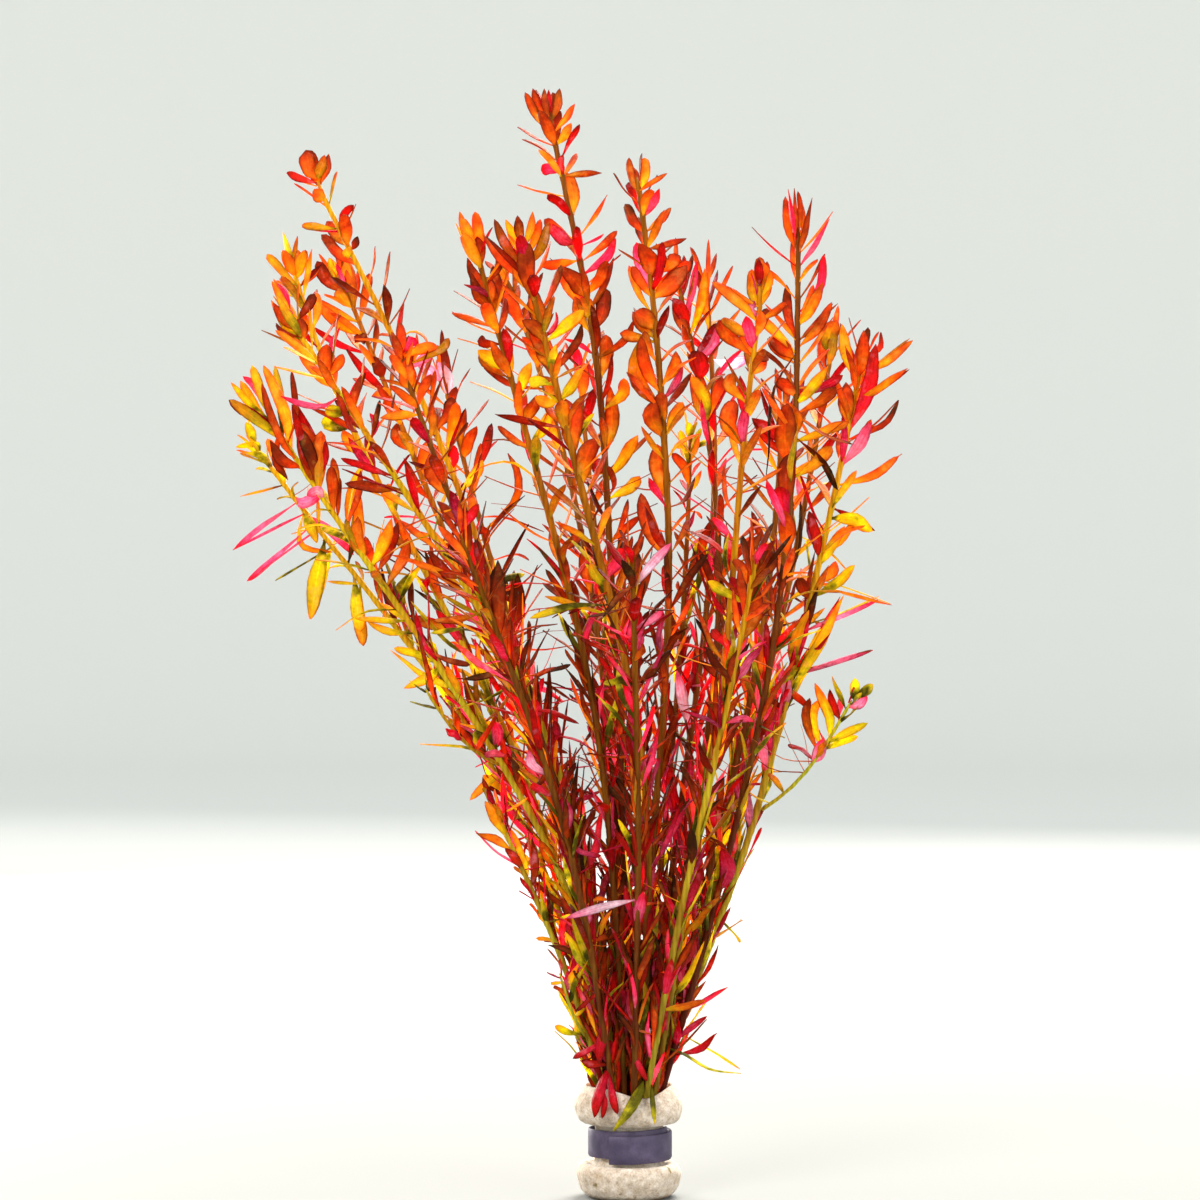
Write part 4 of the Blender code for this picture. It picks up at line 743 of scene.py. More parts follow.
# Leaves read off the photograph one by one: width in tenths of a millimetre, tone and blush in
# hundredths, then the pixels, across and down by turns, that the leaf passes from foot to tip
PICKED_LEAVES = (
    (29, 24, 0, 283, 446, 260, 424, 230, 402), (22, 20, 0, 270, 432, 250, 405, 231, 384),
    (26, 76, 0, 268, 440, 276, 462, 288, 482), (34, 78, 0, 320, 493, 312, 460, 298, 428),
    (24, 60, 42, 313, 482, 302, 444, 292, 406), (32, 50, 100, 288, 503, 305, 505, 324, 494),
    (30, 13, 0, 303, 512, 310, 527, 317, 545), (23, 50, 95, 312, 513, 331, 533, 354, 557),
    (15, 50, 102, 284, 514, 260, 530, 234, 551), (14, 50, 100, 292, 543, 270, 563, 247, 583),
    (14, 40, 0, 272, 534, 302, 546, 333, 554), (30, 34, 0, 361, 556, 359, 526, 359, 494),
    (44, 5, 0, 336, 436, 332, 426, 329, 416), (46, 17, 0, 322, 543, 317, 580, 311, 621),
    (38, 15, 0, 354, 576, 357, 606, 360, 634), (32, 16, 0, 402, 574, 400, 592, 402, 612),
    (48, 52, 10, 313, 184, 309, 170, 307, 154), (30, 34, 20, 316, 182, 321, 170, 325, 157),
    (22, 50, 50, 312, 188, 299, 180, 287, 174), (36, 48, 0, 322, 205, 319, 198, 314, 191),
    (22, 66, 40, 336, 232, 344, 216, 354, 207), (22, 30, 20, 333, 233, 318, 229, 302, 227),
    (32, 46, 0, 297, 280, 290, 266, 285, 252), (32, 40, 0, 299, 280, 301, 265, 304, 252),
    (24, 45, 50, 563, 180, 560, 168, 563, 156), (32, 66, 80, 556, 177, 549, 171, 541, 172),
    (26, 22, 0, 350, 262, 348, 256, 346, 250), (18, 84, 20, 349, 254, 355, 246, 358, 238),
    (34, 34, 0, 352, 292, 347, 278, 346, 262), (20, 20, 0, 340, 288, 333, 274, 329, 260),
    (36, 62, 25, 337, 300, 328, 283, 317, 263), (34, 40, 0, 349, 312, 342, 300, 338, 290),
    (16, 72, 30, 297, 292, 309, 279, 322, 266), (20, 70, 80, 293, 305, 286, 296, 277, 285),
    (28, 78, 20, 303, 320, 308, 308, 315, 296), (22, 55, 80, 296, 325, 290, 318, 287, 310),
    (26, 58, 0, 294, 338, 284, 322, 273, 304), (34, 64, 0, 306, 346, 302, 334, 300, 320),
    (18, 60, 30, 297, 345, 286, 335, 276, 325), (34, 42, 10, 357, 341, 338, 324, 316, 304),
    (18, 70, 60, 362, 362, 338, 345, 312, 328), (38, 72, 10, 353, 350, 360, 343, 367, 336),
    (12, 60, 0, 371, 345, 378, 337, 392, 338, 400, 342),
    (12, 50, 10, 402, 338, 412, 333, 424, 338, 430, 350), (30, 52, 0, 411, 357, 424, 350, 438, 349),
    (22, 32, 25, 430, 362, 440, 352, 449, 340), (28, 68, 80, 407, 350, 412, 344, 416, 340),
    (34, 60, 120, 434, 384, 428, 372, 418, 362), (36, 60, 140, 453, 398, 447, 380, 438, 364),
    (36, 68, 10, 446, 428, 449, 414, 452, 399), (48, 55, 0, 405, 396, 407, 378, 408, 360),
    (38, 72, 20, 388, 380, 380, 371, 374, 358), (40, 60, 0, 330, 378, 325, 364, 327, 346),
    (30, 54, 0, 331, 376, 338, 366, 343, 356), (22, 70, 10, 352, 418, 355, 397, 366, 374),
    (32, 14, 0, 345, 420, 334, 413, 325, 413), (14, 66, 100, 338, 400, 322, 408, 300, 405, 281, 398),
    (16, 70, 30, 330, 393, 343, 410, 350, 430, 358, 434),
    (14, 66, 10, 300, 440, 297, 420, 296, 400, 292, 372),
    (22, 64, 10, 297, 465, 283, 445, 270, 415, 262, 385), (22, 50, 90, 264, 405, 255, 388, 243, 378),
    (32, 74, 0, 292, 478, 282, 462, 270, 442), (22, 13, 0, 278, 470, 262, 458, 246, 455),
    (18, 12, 0, 268, 452, 256, 446, 236, 449), (26, 15, 0, 262, 446, 252, 436, 246, 424),
    (34, 66, 10, 312, 490, 305, 460, 300, 430), (44, 58, 0, 318, 485, 315, 455, 302, 425),
    (16, 72, 50, 325, 480, 326, 460, 326, 442), (32, 64, 10, 335, 515, 333, 490, 331, 468),
    (32, 62, 120, 330, 500, 318, 492, 307, 497), (28, 38, 0, 343, 470, 352, 492, 348, 530),
    (34, 46, 0, 400, 430, 395, 415, 384, 402), (32, 44, 0, 398, 400, 385, 395, 372, 398),
    (26, 42, 0, 420, 418, 400, 417, 380, 420), (14, 80, 0, 372, 440, 376, 420, 380, 402),
    (30, 66, 10, 402, 460, 396, 440, 397, 425), (32, 30, 0, 360, 470, 350, 445, 343, 432),
    (22, 66, 90, 385, 432, 376, 425, 370, 415), (30, 62, 0, 490, 300, 480, 288, 470, 266),
    (30, 74, 0, 488, 312, 478, 296, 471, 274), (48, 56, 0, 486, 312, 488, 297, 491, 283),
    (26, 66, 0, 486, 268, 481, 253, 477, 238), (30, 78, 10, 520, 335, 508, 310, 496, 282, 493, 268),
    (20, 82, 0, 497, 285, 498, 270, 500, 253), (18, 66, 30, 523, 285, 508, 262, 486, 238),
    (46, 60, 0, 535, 310, 528, 280, 524, 242), (44, 55, 0, 546, 335, 538, 315, 533, 293),
    (30, 38, 0, 524, 300, 521, 280, 516, 262), (26, 38, 25, 532, 268, 541, 250, 549, 223),
    (30, 50, 10, 575, 262, 560, 266, 540, 267), (46, 64, 10, 592, 299, 576, 284, 561, 268),
    (34, 54, 0, 592, 298, 600, 280, 607, 262), (26, 70, 80, 598, 275, 606, 260, 616, 240),
    (36, 42, 80, 577, 247, 562, 240, 549, 226), (12, 66, 80, 585, 247, 595, 241, 604, 236),
    (46, 46, 0, 597, 325, 588, 312, 578, 301), (36, 58, 0, 552, 345, 538, 332, 522, 322),
    (46, 58, 0, 560, 368, 545, 350, 529, 332), (40, 56, 0, 549, 374, 545, 358, 541, 341),
    (30, 16, 0, 556, 378, 553, 362, 556, 346), (34, 28, 0, 555, 342, 568, 326, 584, 312),
    (16, 68, 70, 556, 338, 556, 325, 556, 314), (14, 66, 80, 594, 358, 580, 346, 565, 341),
    (20, 80, 10, 570, 370, 576, 345, 582, 326), (32, 20, 0, 548, 388, 538, 383, 530, 388),
    (30, 28, 0, 560, 404, 570, 390, 583, 370), (34, 40, 0, 558, 402, 546, 404, 535, 399),
    (36, 22, 0, 506, 374, 493, 362, 478, 352), (28, 68, 30, 489, 350, 484, 345, 482, 337),
    (26, 70, 50, 512, 372, 509, 350, 503, 330), (32, 28, 0, 520, 400, 524, 380, 531, 364),
    (16, 56, 0, 490, 332, 475, 322, 452, 315), (14, 68, 0, 535, 395, 512, 387, 484, 370),
    (16, 66, 30, 556, 434, 524, 422, 495, 416), (36, 60, 0, 526, 426, 532, 410, 537, 397),
    (22, 64, 10, 530, 450, 512, 441, 498, 428), (32, 22, 0, 541, 444, 545, 428, 550, 410),
    (54, 56, 0, 575, 460, 572, 432, 580, 405), (40, 38, 0, 566, 442, 564, 420, 562, 402),
    (50, 56, 0, 657, 332, 647, 322, 635, 314), (48, 62, 10, 660, 280, 649, 262, 639, 245),
    (28, 54, 0, 655, 300, 643, 287, 632, 268), (52, 60, 0, 662, 300, 673, 284, 687, 267),
    (38, 58, 0, 665, 277, 672, 265, 675, 255), (34, 84, 0, 656, 282, 660, 268, 660, 256),
    (38, 68, 40, 695, 332, 682, 313, 673, 300), (22, 70, 90, 690, 318, 693, 290, 697, 263),
    (14, 70, 50, 684, 300, 684, 280, 684, 257), (30, 42, 0, 700, 335, 701, 305, 705, 270),
    (46, 58, 0, 742, 358, 730, 338, 719, 322), (38, 68, 100, 705, 362, 711, 346, 718, 328),
    (42, 68, 50, 699, 386, 702, 370, 698, 353), (34, 60, 140, 708, 360, 728, 366, 748, 361),
    (24, 66, 20, 748, 364, 759, 358, 769, 362), (36, 62, 90, 746, 352, 750, 335, 746, 318),
    (26, 55, 110, 747, 318, 750, 310, 755, 303), (42, 64, 20, 798, 362, 784, 350, 769, 339),
    (26, 44, 0, 800, 356, 775, 333, 745, 308), (30, 42, 0, 765, 325, 740, 305, 712, 284),
    (30, 38, 0, 765, 302, 768, 282, 764, 265), (18, 50, 0, 760, 324, 772, 315, 786, 304),
    (32, 42, 0, 803, 330, 812, 308, 823, 284), (24, 68, 80, 814, 318, 820, 290, 824, 256),
    (26, 56, 0, 808, 350, 818, 330, 832, 304), (54, 42, 0, 824, 358, 829, 338, 837, 322),
    (34, 34, 0, 850, 385, 845, 352, 842, 326), (36, 54, 0, 861, 382, 863, 360, 864, 332),
    (42, 66, 60, 857, 440, 866, 398, 876, 346), (34, 60, 110, 847, 472, 858, 448, 871, 424),
    (18, 78, 10, 867, 446, 884, 425, 899, 402), (20, 44, 10, 862, 408, 882, 388, 908, 370),
    (22, 46, 10, 874, 380, 890, 362, 913, 342), (14, 60, 30, 880, 362, 879, 350, 881, 334),
    (24, 48, 0, 848, 490, 872, 478, 899, 458), (46, 58, 0, 850, 432, 846, 408, 846, 384),
    (34, 58, 0, 804, 416, 822, 402, 836, 390), (30, 30, 0, 805, 406, 815, 386, 828, 368),
    (24, 68, 70, 806, 398, 825, 388, 843, 377), (36, 64, 10, 801, 402, 790, 391, 775, 380),
    (34, 66, 50, 800, 450, 776, 436, 752, 420), (36, 52, 0, 806, 440, 796, 420, 786, 402),
    (28, 38, 0, 806, 446, 828, 432, 849, 424), (36, 36, 0, 803, 482, 817, 464, 832, 448),
    (14, 60, 0, 803, 418, 826, 438, 852, 446), (16, 88, 0, 804, 440, 822, 462, 838, 492),
    (56, 60, 0, 784, 478, 785, 440, 788, 405), (50, 62, 20, 788, 510, 786, 484, 789, 456),
    (13, 100, 0, 778, 352, 776, 385, 769, 415, 769, 448, 766, 482),
    (48, 56, 10, 730, 448, 728, 424, 735, 402), (28, 68, 90, 740, 452, 743, 428, 745, 408),
    (36, 62, 0, 714, 424, 718, 398, 722, 378), (36, 48, 0, 728, 404, 730, 388, 732, 375),
    (34, 30, 0, 716, 426, 706, 403, 691, 378), (42, 9, 30, 641, 412, 636, 380, 641, 338),
    (34, 38, 0, 666, 440, 674, 420, 683, 404), (48, 60, 0, 656, 442, 652, 420, 655, 401),
    (40, 52, 0, 668, 432, 662, 412, 661, 394), (22, 50, 90, 668, 402, 675, 386, 683, 368),
    (36, 58, 0, 657, 398, 646, 370, 641, 338), (34, 48, 0, 668, 388, 674, 370, 676, 353),
    (30, 50, 0, 642, 346, 631, 338, 620, 335), (22, 62, 20, 614, 360, 624, 343, 634, 322),
    (34, 40, 0, 630, 412, 623, 396, 624, 380), (18, 12, 0, 691, 470, 685, 450, 680, 432),
    (18, 12, 0, 691, 466, 695, 445, 701, 430), (16, 13, 0, 690, 456, 684, 447, 676, 448),
    (16, 14, 0, 692, 454, 702, 446, 712, 444), (24, 12, 0, 690, 446, 690, 434, 688, 424),
    (40, 38, 0, 358, 566, 357, 542, 358, 518), (16, 70, 10, 359, 520, 359, 496, 361, 472),
    (16, 74, 0, 339, 522, 338, 502, 340, 480), (34, 32, 0, 376, 566, 384, 545, 392, 520),
    (30, 68, 20, 387, 570, 391, 548, 398, 524), (30, 50, 20, 399, 582, 403, 561, 408, 540),
    (18, 10, 0, 409, 600, 410, 582, 420, 568), (20, 68, 70, 421, 604, 424, 590, 432, 577),
    (28, 60, 20, 404, 493, 376, 489, 345, 485), (18, 52, 60, 396, 478, 366, 468, 341, 460),
    (60, 56, 0, 440, 502, 436, 478, 430, 455), (44, 56, 0, 420, 482, 425, 458, 432, 440),
    (36, 40, 0, 457, 455, 453, 430, 456, 404), (34, 58, 0, 462, 462, 468, 445, 477, 428),
    (26, 48, 40, 478, 482, 484, 455, 492, 425), (30, 32, 0, 470, 492, 476, 476, 483, 462),
    (30, 68, 60, 462, 470, 455, 458, 448, 448), (26, 66, 60, 462, 536, 469, 520, 479, 506),
    (24, 72, 20, 502, 548, 485, 533, 464, 533), (44, 76, 0, 504, 640, 499, 602, 498, 562),
    (42, 80, 0, 520, 640, 518, 608, 518, 575), (34, 66, 10, 511, 682, 512, 665, 518, 648),
    (24, 58, 0, 500, 530, 516, 502, 517, 474, 508, 455),
    (11, 34, 0, 546, 480, 512, 464, 484, 468, 470, 480), (22, 5, 0, 604, 608, 570, 608, 530, 620),
    (16, 34, 0, 602, 622, 572, 606, 545, 598), (24, 20, 0, 402, 626, 380, 622, 355, 620),
    (18, 18, 0, 410, 640, 388, 633, 368, 624), (34, 22, 0, 448, 664, 428, 680, 404, 690),
    (26, 22, 0, 434, 668, 416, 656, 394, 650), (26, 28, 0, 470, 698, 456, 686, 446, 668),
    (32, 8, 0, 486, 724, 478, 738, 474, 750), (38, 68, 90, 502, 748, 498, 735, 493, 722),
    (9, 10, 0, 500, 760, 468, 749, 420, 746), (30, 60, 120, 538, 780, 532, 766, 529, 752),
    (28, 68, 70, 541, 722, 538, 712, 533, 700), (28, 70, 70, 560, 748, 557, 735, 555, 722),
    (34, 44, 20, 446, 640, 430, 626, 412, 618), (36, 58, 70, 470, 650, 452, 630, 436, 612),
    (28, 56, 30, 462, 580, 444, 572, 428, 552), (50, 56, 0, 578, 494, 584, 466, 594, 440),
    (44, 68, 40, 608, 478, 600, 469, 593, 460), (34, 32, 0, 612, 482, 625, 458, 638, 437),
    (34, 32, 0, 621, 502, 632, 488, 640, 478), (52, 56, 0, 660, 504, 660, 474, 657, 446),
    (30, 58, 0, 697, 490, 684, 470, 672, 455), (30, 70, 20, 563, 552, 574, 543, 584, 531),
    (38, 58, 0, 590, 602, 586, 572, 588, 545), (30, 20, 0, 606, 592, 598, 580, 590, 565),
    (40, 64, 80, 607, 582, 615, 566, 624, 550), (24, 60, 130, 622, 592, 648, 570, 671, 545),
    (50, 58, 90, 640, 662, 635, 638, 641, 614), (22, 60, 110, 646, 630, 654, 620, 663, 609),
    (14, 60, 100, 616, 651, 628, 641, 638, 634), (46, 58, 0, 655, 562, 648, 528, 641, 495),
    (24, 64, 0, 612, 545, 626, 530, 641, 517), (28, 66, 0, 700, 588, 701, 555, 711, 522),
    (22, 70, 80, 736, 544, 723, 530, 712, 519), (28, 20, 0, 738, 604, 722, 592, 708, 583),
    (16, 68, 60, 730, 622, 718, 608, 710, 590), (52, 72, 0, 760, 582, 767, 567, 768, 552),
    (56, 64, 0, 750, 648, 754, 614, 752, 580), (50, 66, 70, 786, 528, 782, 506, 779, 488),
    (54, 60, 0, 790, 566, 787, 536, 784, 512), (32, 68, 40, 820, 561, 816, 538, 809, 513),
    (38, 19, 0, 832, 520, 852, 521, 873, 533), (26, 32, 0, 822, 572, 831, 550, 845, 528),
    (32, 52, 10, 824, 588, 831, 575, 836, 563), (28, 18, 0, 822, 604, 838, 584, 855, 567),
    (10, 38, 0, 820, 588, 850, 596, 892, 607), (18, 60, 110, 808, 636, 840, 618, 878, 602),
    (18, 58, 100, 803, 682, 836, 664, 873, 652), (42, 18, 0, 786, 672, 797, 642, 809, 612),
    (38, 24, 0, 796, 702, 816, 652, 844, 597), (36, 62, 110, 790, 716, 787, 690, 777, 666),
    (34, 54, 30, 806, 604, 803, 590, 799, 578), (44, 76, 0, 736, 694, 733, 672, 737, 652),
    (26, 72, 20, 722, 684, 711, 671, 700, 662), (34, 62, 130, 685, 734, 683, 702, 677, 672),
    (12, 60, 110, 684, 690, 706, 686, 728, 684), (38, 62, 110, 771, 776, 763, 755, 754, 729),
    (24, 68, 90, 735, 727, 744, 721, 754, 724), (42, 60, 110, 814, 768, 819, 755, 822, 741),
    (24, 12, 0, 822, 746, 842, 737, 868, 725), (20, 10, 0, 824, 752, 842, 744, 858, 738),
    (34, 28, 0, 836, 744, 829, 716, 815, 685), (28, 70, 40, 838, 722, 833, 707, 830, 691),
    (14, 16, 0, 847, 712, 839, 694, 832, 678), (32, 10, 0, 857, 700, 855, 690, 855, 680),
    (32, 10, 0, 859, 700, 866, 693, 873, 686), (30, 50, 110, 853, 712, 860, 706, 867, 697),
    (30, 60, 0, 800, 744, 806, 722, 810, 700), (34, 34, 0, 802, 738, 812, 718, 821, 700),
    (46, 52, 0, 770, 690, 764, 664, 768, 636), (11, 100, 0, 800, 576, 800, 548, 801, 502),
    (24, 22, 0, 522, 772, 497, 778, 470, 802), (30, 28, 0, 508, 800, 496, 787, 483, 777),
    (34, 32, 0, 516, 836, 497, 822, 485, 803), (28, 42, 0, 521, 852, 497, 842, 476, 835),
    (26, 42, 40, 524, 876, 517, 862, 505, 850), (22, 68, 80, 519, 821, 510, 812, 500, 803),
    (38, 66, 90, 574, 839, 568, 820, 562, 799), (24, 60, 70, 549, 802, 540, 792, 531, 786),
    (34, 42, 0, 556, 872, 548, 858, 540, 842), (26, 60, 130, 628, 900, 606, 908, 566, 920),
    (30, 66, 100, 593, 931, 588, 918, 583, 905), (26, 58, 100, 576, 962, 572, 940, 567, 915),
    (22, 58, 100, 585, 988, 579, 967, 574, 950), (34, 66, 60, 607, 978, 617, 947, 628, 914),
    (34, 62, 90, 636, 932, 639, 912, 644, 893), (32, 62, 80, 654, 896, 643, 880, 642, 850),
    (38, 64, 80, 672, 856, 679, 830, 689, 799), (38, 66, 60, 674, 820, 672, 795, 671, 769),
    (26, 66, 80, 690, 868, 695, 852, 688, 840), (50, 64, 80, 726, 896, 728, 872, 722, 850),
    (48, 62, 110, 754, 832, 746, 804, 737, 780), (36, 68, 70, 681, 922, 691, 896, 703, 869),
    (16, 66, 80, 661, 938, 685, 912, 712, 890), (32, 68, 70, 670, 962, 675, 946, 678, 932),
    (42, 66, 90, 684, 990, 681, 975, 680, 960), (28, 70, 70, 664, 1006, 667, 985, 672, 960),
    (28, 74, 80, 668, 1038, 663, 1022, 661, 1005), (42, 68, 70, 626, 1014, 621, 1000, 618, 985),
    (34, 40, 0, 616, 996, 606, 991, 597, 985), (24, 70, 80, 648, 1021, 637, 1014, 627, 1007),
    (13, 68, 20, 652, 1037, 636, 1031, 618, 1022), (46, 70, 80, 604, 1070, 607, 1055, 611, 1042),
    (24, 74, 40, 602, 1068, 591, 1066, 580, 1062), (13, 28, 0, 588, 1002, 578, 1004, 568, 1001),
    (22, 13, 0, 584, 1042, 567, 1034, 555, 1028), (13, 12, 0, 586, 1062, 578, 1040, 575, 1018),
    (16, 60, 80, 686, 1013, 706, 1002, 728, 989), (24, 46, 0, 660, 1013, 684, 1008, 706, 1002),
    (24, 62, 80, 676, 1042, 690, 1030, 707, 1018), (20, 64, 60, 683, 1062, 700, 1051, 717, 1035),
)

# The photograph's pixel that the middle axis stands on, its ground line and its scale
PHOTO_AXIS_X = 629
PHOTO_GROUND_Y = 1198
PHOTO_PIXELS = 1200
MM_A_PIXEL = 0.26

# Limp leaves that hang over the foam: points from foot to tip, width, tone
LIMP_LEAVES = (
    (((-5.2, -8.5, 34.5), (-7.0, -12.6, 31.0), (-8.2, -14.9, 27), (-9.0, -15.0, 22.4)), 3.6, 0.90),
    (((-6.0, -8.6, 34.0), (-7.6, -12.0, 30.6), (-6.6, -14.8, 26.6), (-7.0, -15.0, 22.2)), 2.0, 0.84),
    (((-5.6, -8.8, 34.5), (-4.9, -12.6, 30.6), (-4.2, -14.9, 27), (-3.0, -15.2, 23.4)), 2.2, 0.86),
    (((3.6, -8.6, 31), (2.4, -13.0, 28.0), (-0.6, -15.2, 23.6), (-4.2, -15.0, 18.8)), 2.9, 0.03),
    (((5.8, -8.6, 30), (6.0, -12.6, 27.4), (6.3, -14.6, 24), (6.6, -14.6, 20.6)), 1.6, 0.02),
    (((-8.2, -4.5, 38), (-11.6, -6.2, 36), (-15.5, -8.0, 40.5), (-19.2, -9.0, 44.0)), 1.6, 0.14),
    (((9.6, -3.0, 39), (14.8, -3.6, 37.2), (21.0, -4.2, 33.6), (29.0, -4.6, 32.4)), 2.0, 0.05),
    (((7.2, -6.0, 34), (11.6, -7.5, 38), (15.6, -8.6, 42), (20.0, -9.0, 47)), 1.4, 0.72),
    (((-5.0, -7.6, 44), (-8.0, -10.5, 41), (-12.4, -11.6, 38.4), (-14.5, -12.0, 37.2)), 2.2, 0.88),
    (((-6.0, -9.6, 50), (-6.6, -11.4, 45), (-7.4, -12.0, 40), (-7.8, -12.0, 36.0)), 3.4, 0.92),
    (((-1.5, -9.4, 42), (1.0, -11.6, 38), (3.0, -12.4, 34.5), (4.6, -12.6, 31.5)), 1.8, 0.83),
)


def blade_shape(u, rise, fall):
    """Half width of a blade, 0 to 1, at u from foot to tip."""
    broadest = rise / (rise + fall)
    bow = u ** rise * (1 - u) ** fall / (broadest ** rise * (1 - broadest) ** fall)
    return max(bow, 0.22 * (1 - u) ** 3, 0.05)


def spread_station(t):
    """Moves evenly spread stations a little towards both ends."""
    return 0.45 * t + 0.55 * (0.5 - 0.5 * math.cos(math.pi * t))


def smooth_line(points, count):
    """Points along a smooth curve through the given ones."""
    points = [np.array(p, float) for p in points]
    ends = [2 * points[0] - points[1]] + points + [2 * points[-1] - points[-2]]
    found = []
    spans = len(points) - 1
    for k in range(count):
        t = spread_station(k / (count - 1)) * spans
        i = min(int(t), spans - 1)
        f = t - i
        a, b, c, d = ends[i:i + 4]
        found.append(0.5 * (2 * b + (c - a) * f + (2 * a - 5 * b + 4 * c - d) * f * f
                            + (3 * b - a - 3 * c + d) * f ** 3))
    return np.array(found)


class Growth:
    """The points, faces and per-point values of one leafy stem."""

    def __init__(self):
        self.points = []
        self.faces = []
        self.looks = []
        self.values = {label: [] for label in ("tone", "run", "across", "blush", "light")}

    def add(self, points, faces, looks, run, across, tone, blush=0.0, light=0.0):
        """Adds one closed form, its looks given by face and its run and across by point."""
        base = len(self.points)
        self.points.extend(points)
        self.faces.extend(tuple(base + k for k in face) for face in faces)
        self.looks.extend(looks)
        self.values["run"].extend(run)
        self.values["across"].extend(across)
        for label, value in (("tone", tone), ("blush", blush), ("light", light)):
            self.values[label].extend([value] * len(points))


# The materials of a stem's piece, by number
BARK, UPPER, UNDER = 0, 1, 2
# Where the points of a leaf's rows stand, from the left margin to the right one. Each row has its left
# margin, then an upper and an under point by turns, and last its right margin.
LANES = (-1.0, -0.6, -0.18, 0.0, 0.18, 0.6, 1.0)
UPPER_ROW = (0, 1, 3, 5, 7, 9, 11)
UNDER_ROW = (0, 2, 4, 6, 8, 10, 11)
ROW_POINTS = 12
GROOVE = 0.06
RIB = 0.10
# How slim a leaf is beside the solid that it covers
SLIM = 0.91
DRESS_SEED = 900
# Leaves this close to a tip and at least this wide are round ones
ROUND_REACH = 30
ROUND_WIDTH = 3.0
# How a leaf widens from its foot and narrows to its tip, and how far it twists, waves and frays
BLADE_FORMS = {
    "round": {"rise": (0.60, 0.85), "fall": (0.36, 0.50), "twist": 0.35, "ripple": 0.20, "ragged": 0.10},
    "lance": {"rise": (0.72, 1.20), "fall": (0.48, 0.95), "twist": 0.35, "ripple": 0.20, "ragged": 0.12},
    "worn": {"rise": (0.32, 0.80), "fall": (0.34, 0.85), "twist": 1.10, "ripple": 0.45, "ragged": 0.34},
}


def blade_row(middle, side, up, u, bow, bends):
    """The points of one row of a leaf, with the share of its half width at which each stands."""
    cup, phase, ripple, ragged = bends
    found = []
    for v in LANES:
        half = bow * (1 + ragged * math.sin(10 * u + phase + (2.1 if v > 0 else 0.0)))
        lift = cup * half * v * v + ripple * v * v * math.sin(7 * u + phase + 1.3 * v)
        lift -= GROOVE * math.exp(-(v / 0.16) ** 2)
        thick = MARGIN_THICK + (BLADE_THICK - MARGIN_THICK) * (1 - abs(v)) ** 0.7
        thick *= 0.45 + 0.55 * math.sin(math.pi * min(u * 0.86 + 0.12, 1.0))
        point = middle + side * (half * v) + up * lift
        if abs(v) == 1.0:
            found.append((point, v))
        else:
            rib = RIB * math.exp(-(v / 0.14) ** 2) * (1 - u)
            found.append((point + up * thick / 2, v))
            found.append((point - up * (thick / 2 + rib), v))
    return found


def blade_faces(rows):
    """The faces of a leaf with this many rows, upper and under by turns, and its two ends."""
    faces = []
    for a in range(0, ROW_POINTS * (rows - 1), ROW_POINTS):
        b = a + ROW_POINTS
        for left, right, low_left, low_right in zip(UPPER_ROW, UPPER_ROW[1:], UNDER_ROW, UNDER_ROW[1:]):
            faces.append((a + left, a + right, b + right, b + left))
            faces.append((a + low_right, a + low_left, b + low_left, b + low_right))
    last = ROW_POINTS * (rows - 1)
    around = UPPER_ROW + UNDER_ROW[-2:0:-1]
    faces.append(tuple(last + k for k in around))
    faces.append(around[::-1])
    return faces


def add_blade(growth, line, blade, width, tone, chance, blush=0.0, light=0.0, form="lance"):
    """A thin closed leaf along a line of points: a grooved upper face, a ribbed under face, one rim."""
    count = len(line)
    tangent = np.gradient(line, axis=0)
    tangent /= np.linalg.norm(tangent, axis=1)[:, None]
    ways = BLADE_FORMS[form]
    cup = chance.uniform(-0.10, 0.30)
    phase = chance.uniform(0, 6.28)
    rise = chance.uniform(*ways["rise"])
    fall = chance.uniform(*ways["fall"])
    twist = chance.uniform(-ways["twist"], ways["twist"])
    ripple = chance.uniform(0.0, ways["ripple"])
    ragged = chance.uniform(0.02, ways["ragged"])
    points = []
    run = []
    across = []
    for k in range(count):
        u = spread_station(k / (count - 1))
        side = blade - tangent[k] * blade.dot(tangent[k])
        side /= np.linalg.norm(side)
        up = np.cross(tangent[k], side)
        side, up = turned(side, up, twist * u), turned(up, -side, twist * u)
        bow = 0.5 * width * blade_shape(u, rise, fall)
        row = blade_row(line[k], side, up, u, bow, (cup, phase, ripple, ragged))
        points += [point for point, _ in row]
        across += [v for _, v in row]
        run += [u] * len(row)
    faces = blade_faces(count)
    growth.add(points, faces, [UPPER, UNDER] * (len(faces) // 2), run, across, tone, blush, light)


def add_thread(growth, line, radius, tone, blush):
    """A fine root or leaf rest, tapered to its end."""
    tangent = np.gradient(line, axis=0)
    tangent /= np.linalg.norm(tangent, axis=1)[:, None]
    steps = len(line) - 1
    points = []
    for k, centre in enumerate(line):
        first = np.cross(tangent[k], (0.0, 0.3, 1.0))
        first /= np.linalg.norm(first)
        second = np.cross(tangent[k], first)
        thin = radius * (1 - 0.6 * k / steps)
        points += [centre + turned(first, second, 2 * math.pi * q / THREAD_SIDES) * thin
                   for q in range(THREAD_SIDES)]
    faces = [(a, b, c, d) for a, d, c, b in ring_faces(steps, THREAD_SIDES)]
    faces.append(tuple(range(THREAD_SIDES))[::-1])
    faces.append(tuple(range(steps * THREAD_SIDES, (steps + 1) * THREAD_SIDES)))
    count = len(points)
    growth.add(points, faces, [UNDER] * len(faces), [0.5] * count, [0.4] * count, tone, blush)


